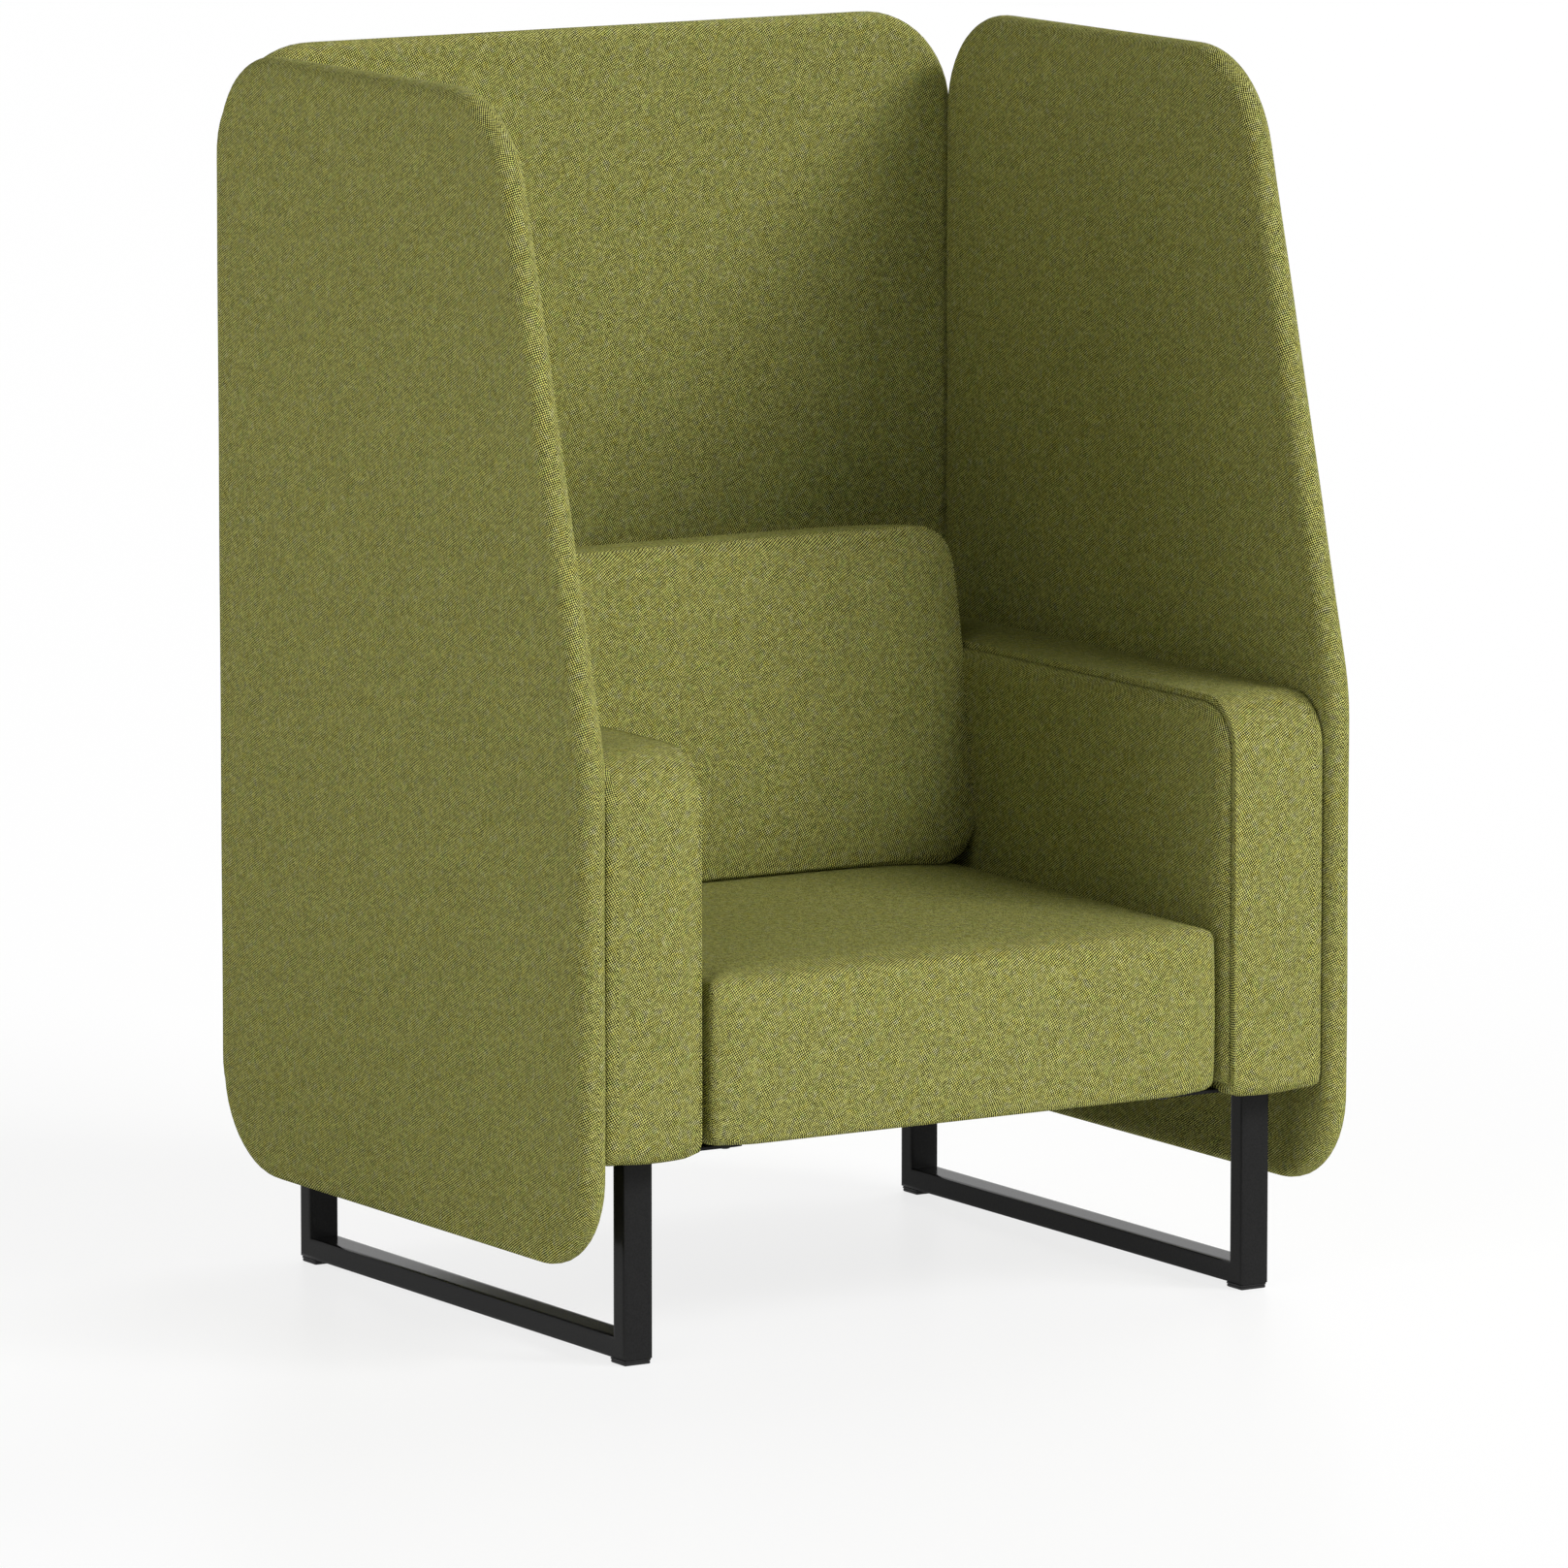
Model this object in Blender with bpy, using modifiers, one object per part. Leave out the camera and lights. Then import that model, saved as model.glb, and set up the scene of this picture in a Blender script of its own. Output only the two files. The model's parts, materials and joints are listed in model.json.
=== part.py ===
"""Single-seat privacy booth: sled legs, upholstered seat, arms and back, and three padded screens.

Metres, +Z up, +Y towards the back. The origin is on the floor, in the middle of the booth.
"""
import math

import bmesh
import bpy
from mathutils import Matrix, Vector

# Clearances
CONTACT_GAP = 0.0003
BOLT_HOLE_CLEARANCE = 0.0004
BOLT_TIP_CLEARANCE = 0.0010
CUT_MARGIN = 0.0100

# Seat block
SEAT_WIDTH = 0.700
SEAT_THICKNESS = 0.190
SEAT_CROWN = 0.013
SEAT_EDGE_RADIUS = 0.016
SEAT_CORNER_RADIUS = 0.018
SEAT_WALL = 0.030
SEAT_SETBACK = 0.008
SEAT_REAR_GAP = 0.008
SEAT_DRAW_IN = 0.003

# Arms
SEAT_TO_ARM_GAP = 0.010
ARM_WIDTH = 0.130
ARM_HEIGHT = 0.4685
ARM_SETBACK = 0.009
ARM_LIP = 0.0065
ARM_EDGE_RADIUS = 0.014
ARM_FRONT_TOP_RADIUS = 0.062
ARM_CORNER_RADIUS = 0.022
ARM_CROWN = 0.002
ARM_INNER_PAD = 0.020
ARM_OUTER_PAD = 0.013
ARM_FRONT_PAD = 0.030
ARM_REAR_PAD = 0.014
ARM_TOP_PAD = 0.025
CARCASS_WALL = 0.015
BOARD_THICKNESS = 0.018

# Screens
SCREEN_THICKNESS = 0.034
SCREEN_EDGE_FLAT = 0.003
SCREEN_CORE_THICKNESS = 0.012
SCREEN_CORE_INSET = 0.018
SCREEN_BOTTOM = 0.118
SCREEN_HEIGHT = 1.327
SIDE_SCREEN_DEPTH = 0.841
SCREEN_CORNER_RADIUS = 0.122
SCREEN_FRONT_TOP_RADIUS = 0.145
SCREEN_FRONT_BOTTOM_RADIUS = 0.111
SCREEN_BEND_RADIUS = 0.285
SCREEN_BEND_HEIGHT = 0.592
SCREEN_SLANT = math.radians(15.0)

# Back cushion
SEAT_DEPTH = 0.515
BACK_LEAN = math.radians(9.6)
BACK_TO_ARM_GAP = 0.004
BACK_HEIGHT = 0.400
BACK_THICKNESS = 0.110
BACK_CROWN = 0.014
BACK_EDGE_RADIUS = 0.010
BACK_CORNER_RADIUS = 0.046
BACK_WALL = 0.030
BACK_DRAW_IN = 0.003
BACK_LIFT = 0.008

# Sled legs and link plates
TUBE_WIDTH = 0.038
TUBE_DEPTH = 0.025
TUBE_WALL = 0.002
TUBE_EDGE_RADIUS = 0.0028
LEG_HEIGHT = 0.2355
LEG_INSET = 0.048
LEG_SETBACK = 0.051
LEG_REAR_SETBACK = 0.045
GLIDE_HEIGHT = 0.006
GLIDE_LENGTH = 0.033
GLIDE_INSET = 0.001
GLIDE_EDGE_RADIUS = 0.0012
PLATE_THICKNESS = 0.004
PLATE_WIDTH = 0.044
PLATE_UNDER_DECK = 0.032
PLATE_PAST_LEG = 0.024
PLATE_CORNER_RADIUS = 0.005
CLOTH_THICKNESS = 0.001
CLOTH_INSET = 0.010

# Bolts
BOLT_DIAMETER = 0.008
BOLT_HEAD_DIAMETER = 0.014
BOLT_HEAD_HEIGHT = 0.0045
BOLT_CROWN_DIAMETER = 0.009
BOLT_RIM_HEIGHT = 0.0018
BOARD_SKIN = 0.005
CORE_SKIN = 0.003
BOARD_END_BITE = 0.040
PLATE_BOLT_EDGE = 0.012

# Facets
ARC_STEPS = 5
SMALL_ARC_STEPS = 2
SIDE_STEPS = 5
ROUND_STEPS = 2
BOLT_STEPS = 10
CROWN_LINES = 7
CROWN_LINE_REACH = 0.92
CROWN_POWER = 4
DRAW_POWER = 6
WELD_DISTANCE = 0.00001
SLICE_TOLERANCE = 0.000001
FLAT_ANGLE = math.radians(0.5)
SHARP_ANGLE = math.radians(40)

# Places across the width
seat_half = SEAT_WIDTH / 2
arm_inner = seat_half + SEAT_TO_ARM_GAP
arm_outer = arm_inner + ARM_WIDTH
back_half = arm_inner - BACK_TO_ARM_GAP
screen_inner = arm_outer + CONTACT_GAP
screen_middle = screen_inner + SCREEN_THICKNESS / 2
leg_outer = arm_outer - LEG_INSET
leg_middle = leg_outer - TUBE_WIDTH / 2
carcass_inner = arm_inner + ARM_INNER_PAD
carcass_outer = arm_outer - ARM_OUTER_PAD
plate_inner = seat_half - SEAT_WALL - PLATE_UNDER_DECK
plate_outer = leg_outer + PLATE_PAST_LEG

# Places from front to back
booth_depth = SIDE_SCREEN_DEPTH + CONTACT_GAP + SCREEN_THICKNESS
screen_front = -booth_depth / 2
screen_rear = screen_front + SIDE_SCREEN_DEPTH
back_screen_middle = screen_rear + CONTACT_GAP + SCREEN_THICKNESS / 2
arm_front = screen_front + ARM_SETBACK
arm_rear = screen_rear
carcass_front = arm_front + ARM_FRONT_PAD
carcass_rear = arm_rear - ARM_REAR_PAD
seat_front = arm_front + SEAT_SETBACK
seat_rear = arm_rear - SEAT_REAR_GAP
sled_front = screen_front + LEG_SETBACK
sled_rear = screen_rear - LEG_REAR_SETBACK
front_leg_middle = sled_front + TUBE_DEPTH / 2
rear_leg_middle = sled_rear - TUBE_DEPTH / 2

# Places above the floor
leg_bottom = GLIDE_HEIGHT + CONTACT_GAP
leg_top = leg_bottom + LEG_HEIGHT
plate_bottom = leg_top + CONTACT_GAP
plate_top = plate_bottom + PLATE_THICKNESS
base_level = plate_top + CONTACT_GAP
board_top = base_level + BOARD_THICKNESS
arm_bottom = base_level - ARM_LIP
arm_top = arm_bottom + ARM_HEIGHT
carcass_bottom = board_top + CONTACT_GAP
carcass_top = arm_top - ARM_TOP_PAD
seat_surface = base_level + SEAT_THICKNESS + SEAT_CROWN
rest_level = seat_surface + CONTACT_GAP

# Paddings and bolt depths inside the boards
screen_edge_radius = (SCREEN_THICKNESS - SCREEN_EDGE_FLAT) / 2
screen_padding = (SCREEN_THICKNESS - SCREEN_CORE_THICKNESS) / 2
core_bite = SCREEN_CORE_THICKNESS - CORE_SKIN
board_bite = BOARD_THICKNESS - BOARD_SKIN

# Frames that carry a flat drawing (u, v) and its thickness w into the booth
SIDEWAYS = Matrix(((0, 0, 1), (1, 0, 0), (0, 1, 0))).to_4x4()
FACING_FRONT = Matrix(((1, 0, 0), (0, 0, -1), (0, 1, 0))).to_4x4()
UPWARDS = Matrix.Identity(4)

BOOTH = "privacy_booth"
CUTTERS = "cutters"


def clear_scene():
    """Remove every object and collection of the open file."""
    for obj in list(bpy.data.objects):
        bpy.data.objects.remove(obj, do_unlink=True)
    for group in list(bpy.data.collections):
        bpy.data.collections.remove(group)
    for title in (BOOTH, CUTTERS):
        bpy.context.scene.collection.children.link(bpy.data.collections.new(title))


def finish(name, color, roughness, metallic=0.0):
    """A Principled material with one colour."""
    mat = bpy.data.materials.new(name)
    mat.use_nodes = True
    shader = mat.node_tree.nodes["Principled BSDF"]
    shader.inputs["Base Color"].default_value = (*color, 1.0)
    shader.inputs["Roughness"].default_value = roughness
    shader.inputs["Metallic"].default_value = metallic
    return mat


def add_object(name, mesh, mat, frame=UPWARDS):
    """Put a mesh into the booth's collection under its node name."""
    obj = bpy.data.objects.new(name, mesh)
    obj.matrix_world = frame
    if mat is not None:
        mesh.materials.append(mat)
    bpy.data.collections[BOOTH].objects.link(obj)
    return obj


def add_cutter(name, mesh, frame=UPWARDS):
    """Put a mesh among the cutters, where it isn't rendered."""
    obj = bpy.data.objects.new(name, mesh)
    obj.matrix_world = frame
    obj.hide_render = True
    obj.display_type = "WIRE"
    bpy.data.collections[CUTTERS].objects.link(obj)
    return obj


def cut(target, cutter):
    """Subtract a cutter from a piece."""
    boolean = target.modifiers.new(cutter.name, "BOOLEAN")
    boolean.operation = "DIFFERENCE"
    boolean.solver = "EXACT"
    boolean.object = cutter


def rectangle(u_low, v_low, u_high, v_high, radius):
    """Corners of a rectangle, each with the same rounding, counter-clockwise."""
    places = ((u_low, v_low), (u_high, v_low), (u_high, v_high), (u_low, v_high))
    return [(u, v, radius) for u, v in places]


def corner_sides(corners, index):
    """A corner's place, the directions to its two neighbours and half the angle between them."""
    here = Vector(corners[index][:2])
    back = (Vector(corners[index - 1][:2]) - here).normalized()
    ahead = (Vector(corners[(index + 1) % len(corners)][:2]) - here).normalized()
    return here, back, ahead, back.angle(ahead) / 2


def inset(corners, distance):
    """The same outline with every side moved inwards."""
    moved = []
    for index, corner in enumerate(corners):
        here, back, ahead, half_angle = corner_sides(corners, index)
        place = here + (back + ahead).normalized() * distance / math.sin(half_angle)
        moved.append((place.x, place.y, max(corner[2] - distance, CONTACT_GAP)))
    return moved


def outline(corners, side_steps=1, arc_steps=ARC_STEPS):
    """Points round an outline: an arc at every corner, and straight sides split evenly."""
    arcs = []
    for index, corner in enumerate(corners):
        here, back, ahead, half_angle = corner_sides(corners, index)
        radius = corner[2]
        centre = here + (back + ahead).normalized() * radius / math.sin(half_angle)
        start = here + back * radius / math.tan(half_angle) - centre
        turn = (math.pi - 2 * half_angle) / arc_steps
        arcs.append([centre + Matrix.Rotation(turn * step, 2) @ start for step in range(arc_steps + 1)])
    points = []
    for index, arc in enumerate(arcs):
        points += arc
        following = arcs[(index + 1) % len(arcs)][0]
        points += [arc[-1].lerp(following, step / side_steps) for step in range(1, side_steps)]
    return points


def slab_mesh(loops, thickness, edge_radius=0.0):
    """A filled 2D curve, extruded about its own plane and rounded at both faces, as a welded mesh.

    The first loop is the outer one, and any others are holes in it.
    """
    curve = bpy.data.curves.new("slab", "CURVE")
    curve.dimensions = "2D"
    curve.fill_mode = "BOTH"
    curve.extrude = thickness / 2 - edge_radius
    curve.bevel_depth = edge_radius
    curve.bevel_resolution = ROUND_STEPS
    for points in loops:
        spline = curve.splines.new("POLY")
        spline.points.add(len(points) - 1)
        spline.use_cyclic_u = True
        for target, point in zip(spline.points, points):
            target.co = (point[0], point[1], 0.0, 1.0)
    carrier = bpy.data.objects.new("slab", curve)
    bpy.context.scene.collection.objects.link(carrier)
    evaluated = carrier.evaluated_get(bpy.context.evaluated_depsgraph_get())
    mesh = bpy.data.meshes.new_from_object(evaluated)
    bpy.data.objects.remove(carrier, do_unlink=True)
    bpy.data.curves.remove(curve)
    work = bmesh.new()
    work.from_mesh(mesh)
    bmesh.ops.remove_doubles(work, verts=work.verts, dist=WELD_DISTANCE)
    bmesh.ops.dissolve_limit(work, angle_limit=FLAT_ANGLE, verts=work.verts, edges=work.edges)
    bmesh.ops.recalc_face_normals(work, faces=work.faces)
    work.to_mesh(mesh)
    work.free()
    return mesh


def board_mesh(corners, thickness, arc_steps=ARC_STEPS):
    """A board with square edges."""
    return slab_mesh([outline(corners, 1, arc_steps)], thickness)


def padded_mesh(corners, thickness, edge_radius, side_steps=1, arc_steps=ARC_STEPS):
    """A padded slab whose rounded edges lie inside the outline."""
    return slab_mesh([outline(inset(corners, edge_radius), side_steps, arc_steps)], thickness, edge_radius)


def slice_mesh(mesh, axis, places):
    """Add a cut line across the mesh at each place along an axis."""
    work = bmesh.new()
    work.from_mesh(mesh)
    for place in places:
        everything = work.verts[:] + work.edges[:] + work.faces[:]
        bmesh.ops.bisect_plane(work, geom=everything, plane_co=axis * place, plane_no=axis,
                               dist=SLICE_TOLERANCE)
    work.to_mesh(mesh)
    work.free()


def keep_half(mesh, sign):
    """Keep the half of a slab on one side of its middle plane, closed there with half a contact gap."""
    work = bmesh.new()
    work.from_mesh(mesh)
    everything = work.verts[:] + work.edges[:] + work.faces[:]
    normal = Vector((0, 0, sign))
    bmesh.ops.bisect_plane(work, geom=everything, plane_co=normal * CONTACT_GAP / 2, plane_no=normal,
                           clear_inner=True, dist=SLICE_TOLERANCE)
    rim = [edge for edge in work.edges if edge.is_boundary]
    bmesh.ops.holes_fill(work, edges=rim)
    bmesh.ops.recalc_face_normals(work, faces=work.faces)
    work.to_mesh(mesh)
    work.free()


def swell(mesh, size, centre, crown_low, crown_high, draw_in):
    """Crown the two faces of a padded slab and draw its sides in between the corners.

    The crown is highest in the middle of a face and falls off as (1 - u^4)(1 - v^4). A side moves in
    by draw_in at its middle and not at all at its corners.
    """
    half_u, half_v, half_w = size[0] / 2, size[1] / 2, size[2] / 2
    reach_u, reach_v = CROWN_LINE_REACH * half_u, CROWN_LINE_REACH * half_v
    slice_mesh(mesh, Vector((1, 0, 0)), spread(centre[0] - reach_u, centre[0] + reach_u, CROWN_LINES))
    slice_mesh(mesh, Vector((0, 1, 0)), spread(centre[1] - reach_v, centre[1] + reach_v, CROWN_LINES))
    for vertex in mesh.vertices:
        u = max(-1.0, min(1.0, (vertex.co.x - centre[0]) / half_u))
        v = max(-1.0, min(1.0, (vertex.co.y - centre[1]) / half_v))
        w = vertex.co.z / half_w
        fullness = (1 - u ** CROWN_POWER) * (1 - v ** CROWN_POWER)
        crown = crown_high if w > 0 else crown_low
        vertex.co.z += crown * w * fullness
        vertex.co.x -= draw_in * math.copysign(u ** DRAW_POWER, u) * (1 - v * v)
        vertex.co.y -= draw_in * math.copysign(v ** DRAW_POWER, v) * (1 - u * u)


def spread(low, high, count):
    """Evenly spaced places from low to high."""
    return [low + (high - low) * step / (count - 1) for step in range(count)]


def shade_soft(mesh):
    """Smooth shading that keeps hard edges."""
    mesh.shade_smooth()
    mesh.set_sharp_from_angle(angle=SHARP_ANGLE)


def box_mesh(low, high):
    """A cube stretched between two corners."""
    mesh = bpy.data.meshes.new("box")
    work = bmesh.new()
    bmesh.ops.create_cube(work, size=1.0)
    low, high = Vector(low), Vector(high)
    bmesh.ops.scale(work, verts=work.verts, vec=high - low)
    bmesh.ops.translate(work, verts=work.verts, vec=(low + high) / 2)
    work.to_mesh(mesh)
    work.free()
    return mesh


def span(side, low, high):
    """Two X places of one side, in rising order."""
    return sorted((side * low, side * high))


def aim(place, direction):
    """A frame at a place with its Z axis along a direction."""
    return Matrix.Translation(place) @ direction.to_track_quat("Z", "Y").to_matrix().to_4x4()


def bolt(name, seat, direction, length, mat, through):
    """A button-head bolt. Its head rests on the seat, and its shank runs along the direction."""
    head = BOLT_HEAD_DIAMETER / 2
    crown = BOLT_CROWN_DIAMETER / 2
    shank = BOLT_DIAMETER / 2
    profile = [(0, -BOLT_HEAD_HEIGHT), (crown, -BOLT_HEAD_HEIGHT), (head, -BOLT_RIM_HEIGHT), (head, 0),
               (shank, 0), (shank, length), (0, length)]
    mesh = bpy.data.meshes.new(name)
    edges = [(step, step + 1) for step in range(len(profile) - 1)]
    mesh.from_pydata([(across, 0, along) for across, along in reversed(profile)], edges, [])
    seat = Vector(seat) - direction * CONTACT_GAP
    obj = add_object(name, mesh, mat, aim(seat, direction))
    screw = obj.modifiers.new("turn", "SCREW")
    screw.steps = BOLT_STEPS
    screw.render_steps = BOLT_STEPS
    screw.use_merge_vertices = True
    screw.merge_threshold = WELD_DISTANCE
    drill = bpy.data.meshes.new(name + "_drill")
    work = bmesh.new()
    reach = length + BOLT_TIP_CLEARANCE
    radius = shank + BOLT_HOLE_CLEARANCE
    bmesh.ops.create_cone(work, cap_ends=True, segments=BOLT_STEPS, radius1=radius, radius2=radius,
                          depth=reach)
    bmesh.ops.translate(work, verts=work.verts, vec=(0, 0, reach / 2))
    work.to_mesh(drill)
    work.free()
    cutter = add_cutter(name + "_drill", drill, aim(seat, direction))
    for target in through:
        cut(target, cutter)


def tube(name, length, frame, mat):
    """A rectangular steel tube, its width along u and its depth along v."""
    corners = rectangle(-TUBE_WIDTH / 2, -TUBE_DEPTH / 2, TUBE_WIDTH / 2, TUBE_DEPTH / 2, TUBE_EDGE_RADIUS)
    bore = inset(corners, TUBE_WALL)
    mesh = slab_mesh([outline(loop, 1, SMALL_ARC_STEPS) for loop in (corners, bore)], length)
    shade_soft(mesh)
    return add_object(name, mesh, mat, frame)


def sled(side, label, mat, rubber):
    """One sled leg: two uprights, the floor rail between them, and a glide under each corner."""
    across = side * leg_middle
    ends = {"front": (front_leg_middle, sled_front, 1), "rear": (rear_leg_middle, sled_rear, -1)}
    for end, (middle, face, inwards) in ends.items():
        upright = Matrix.Translation((across, middle, leg_bottom + LEG_HEIGHT / 2))
        tube(f"{label}_{end}_leg", LEG_HEIGHT, upright, mat)
        near, far = sorted((face + inwards * GLIDE_INSET, face + inwards * (GLIDE_INSET + GLIDE_LENGTH)))
        half = TUBE_WIDTH / 2 - GLIDE_INSET
        corners = rectangle(-half, near, half, far, 2 * GLIDE_EDGE_RADIUS)
        pad = padded_mesh(corners, GLIDE_HEIGHT, GLIDE_EDGE_RADIUS, 1, SMALL_ARC_STEPS)
        add_object(f"{label}_{end}_glide", pad, rubber, Matrix.Translation((across, 0, GLIDE_HEIGHT / 2)))
    rail_length = sled_rear - sled_front - 2 * (TUBE_DEPTH + CONTACT_GAP)
    middle = Matrix.Translation((across, (sled_front + sled_rear) / 2, leg_bottom + TUBE_DEPTH / 2))
    tube(f"{label}_floor_rail", rail_length, middle @ FACING_FRONT, mat)


def link_plates(side, label, mat, bolt_mat, arm_board, seat_deck):
    """The flat plates on the leg tops that hold the arm and the seat together, and their bolts."""
    for end, middle in (("front", front_leg_middle), ("rear", rear_leg_middle)):
        low, high = span(side, plate_inner, plate_outer)
        half = PLATE_WIDTH / 2
        corners = rectangle(low, middle - half, high, middle + half, PLATE_CORNER_RADIUS)
        level = Matrix.Translation((0, 0, plate_bottom + PLATE_THICKNESS / 2))
        mesh = board_mesh(corners, PLATE_THICKNESS, SMALL_ARC_STEPS)
        plate = add_object(f"{label}_{end}_link_plate", mesh, mat, level)
        length = PLATE_THICKNESS + 2 * CONTACT_GAP + board_bite
        for held, place, board in (("arm", plate_outer - PLATE_BOLT_EDGE, arm_board),
                                   ("seat", plate_inner + PLATE_BOLT_EDGE, seat_deck)):
            seat = (side * place, middle, plate_bottom)
            bolt(f"{label}_{end}_{held}_bolt", seat, Vector((0, 0, 1)), length, bolt_mat, (plate, board))


def arm(side, label, cloth, timber):
    """One arm: a base board, a hollow plywood carcass on it, and the padded cover that slips over both."""
    low, high = span(side, carcass_inner, carcass_outer)
    board = add_object(f"{label}_arm_base_board",
                       box_mesh((low, carcass_front, base_level), (high, carcass_rear, board_top)), timber)
    shell = box_mesh((low, carcass_front, carcass_bottom), (high, carcass_rear, carcass_top))
    work = bmesh.new()
    work.from_mesh(shell)
    work.faces.ensure_lookup_table()
    floor = [face for face in work.faces if face.normal.z < -0.5]
    bmesh.ops.delete(work, geom=floor, context="FACES")
    work.to_mesh(shell)
    work.free()
    carcass = add_object(f"{label}_arm_carcass", shell, timber)
    wall = carcass.modifiers.new("wall", "SOLIDIFY")
    wall.thickness = CARCASS_WALL
    wall.offset = -1
    wall.use_even_offset = True
    corners = [(arm_front, arm_bottom, ARM_CORNER_RADIUS), (arm_rear, arm_bottom, ARM_CORNER_RADIUS),
               (arm_rear, arm_top, ARM_CORNER_RADIUS), (arm_front, arm_top, ARM_FRONT_TOP_RADIUS)]
    mesh = padded_mesh(corners, ARM_WIDTH, ARM_EDGE_RADIUS)
    size = (arm_rear - arm_front, ARM_HEIGHT, ARM_WIDTH)
    centre = ((arm_front + arm_rear) / 2, (arm_bottom + arm_top) / 2)
    crowns = (ARM_CROWN, 0.0) if side > 0 else (0.0, ARM_CROWN)
    swell(mesh, size, centre, *crowns, 0.0)
    shade_soft(mesh)
    middle = Matrix.Translation((side * (arm_inner + arm_outer) / 2, 0, 0))
    cover = add_object(f"{label}_arm_pad", mesh, cloth, middle @ SIDEWAYS)
    pocket = box_mesh((low - CONTACT_GAP, carcass_front - CONTACT_GAP, arm_bottom - CUT_MARGIN),
                      (high + CONTACT_GAP, carcass_rear + CONTACT_GAP, carcass_top + CONTACT_GAP))
    cut(cover, add_cutter(f"{label}_arm_pocket", pocket))
    return board, carcass, cover


def plate_notches(side, label, cover):
    """Notches in the arm cover's lower lip where the link plates pass."""
    low, high = span(side, arm_inner - CUT_MARGIN, carcass_inner + CUT_MARGIN)
    reach = PLATE_WIDTH / 2 + CONTACT_GAP
    for end, middle in (("front", front_leg_middle), ("rear", rear_leg_middle)):
        notch = box_mesh((low, middle - reach, arm_bottom - CUT_MARGIN), (high, middle + reach, base_level))
        cut(cover, add_cutter(f"{label}_{end}_plate_notch", notch))


def screen(name, corners, faces, frame, cloth, timber):
    """A padded screen: a board, and a foam pad on each face that wraps round the board's edge."""
    core_corners = inset(corners, SCREEN_CORE_INSET)
    core = add_object(f"{name}_core", board_mesh(core_corners, SCREEN_CORE_THICKNESS), timber, frame)
    room = board_mesh(inset(core_corners, -CONTACT_GAP), SCREEN_CORE_THICKNESS + 2 * CONTACT_GAP)
    pocket = add_cutter(f"{name}_pocket", room, frame)
    pads = []
    for face, sign in faces:
        mesh = padded_mesh(corners, SCREEN_THICKNESS, screen_edge_radius)
        keep_half(mesh, sign)
        shade_soft(mesh)
        pad = add_object(f"{name}_{face}_pad", mesh, cloth, frame)
        cut(pad, pocket)
        pads.append(pad)
    return core, pads


def side_screen(side, label, cloth, timber):
    """A side screen, upright at the arm and slanting back above it."""
    top = SCREEN_BOTTOM + SCREEN_HEIGHT
    bend = SCREEN_BOTTOM + SCREEN_BEND_HEIGHT
    slant_top = screen_front + (top - bend) * math.tan(SCREEN_SLANT)
    corners = [(screen_front, SCREEN_BOTTOM, SCREEN_FRONT_BOTTOM_RADIUS),
               (screen_rear, SCREEN_BOTTOM, SCREEN_CORNER_RADIUS), (screen_rear, top, SCREEN_CORNER_RADIUS),
               (slant_top, top, SCREEN_FRONT_TOP_RADIUS), (screen_front, bend, SCREEN_BEND_RADIUS)]
    frame = Matrix.Translation((side * screen_middle, 0, 0)) @ SIDEWAYS
    return screen(f"{label}_screen", corners, (("outer", side), ("inner", -side)), frame, cloth, timber)


def back_screen(cloth, timber):
    """The back screen, behind the side screens' rear edges and ending half way across them."""
    corners = rectangle(-screen_middle, SCREEN_BOTTOM, screen_middle, SCREEN_BOTTOM + SCREEN_HEIGHT,
                        SCREEN_CORNER_RADIUS)
    frame = Matrix.Translation((0, back_screen_middle, 0)) @ FACING_FRONT
    return screen("back_screen", corners, (("front", 1), ("rear", -1)), frame, cloth, timber)


def seat(cloth, timber, black_cloth):
    """The seat deck, the cushion that wraps over it, and the dust cloth under it."""
    corners = rectangle(-seat_half, seat_front, seat_half, seat_rear, SEAT_CORNER_RADIUS)
    deck_corners = inset(corners, SEAT_WALL)
    level = Matrix.Translation((0, 0, base_level + BOARD_THICKNESS / 2))
    deck = add_object("seat_deck", board_mesh(deck_corners, BOARD_THICKNESS), timber, level)
    mesh = padded_mesh(corners, SEAT_THICKNESS, SEAT_EDGE_RADIUS, SIDE_STEPS)
    depth = seat_rear - seat_front
    centre = (0.0, (seat_front + seat_rear) / 2)
    swell(mesh, (SEAT_WIDTH, depth, SEAT_THICKNESS), centre, 0.0, SEAT_CROWN, SEAT_DRAW_IN)
    shade_soft(mesh)
    middle = Matrix.Translation((0, 0, base_level + SEAT_THICKNESS / 2))
    cushion = add_object("seat_cushion", mesh, cloth, middle)
    room = board_mesh(inset(deck_corners, -CONTACT_GAP), 2 * (BOARD_THICKNESS + CONTACT_GAP))
    cut(cushion, add_cutter("seat_pocket", room, Matrix.Translation((0, 0, base_level))))
    half = plate_inner - CLOTH_INSET
    sheet = rectangle(-half, seat_front + SEAT_WALL + CLOTH_INSET, half, seat_rear - SEAT_WALL - CLOTH_INSET,
                      PLATE_CORNER_RADIUS)
    under = Matrix.Translation((0, 0, base_level - CONTACT_GAP - CLOTH_THICKNESS / 2))
    add_object("seat_dust_cloth", board_mesh(sheet, CLOTH_THICKNESS, SMALL_ARC_STEPS), black_cloth, under)
    return deck


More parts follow.
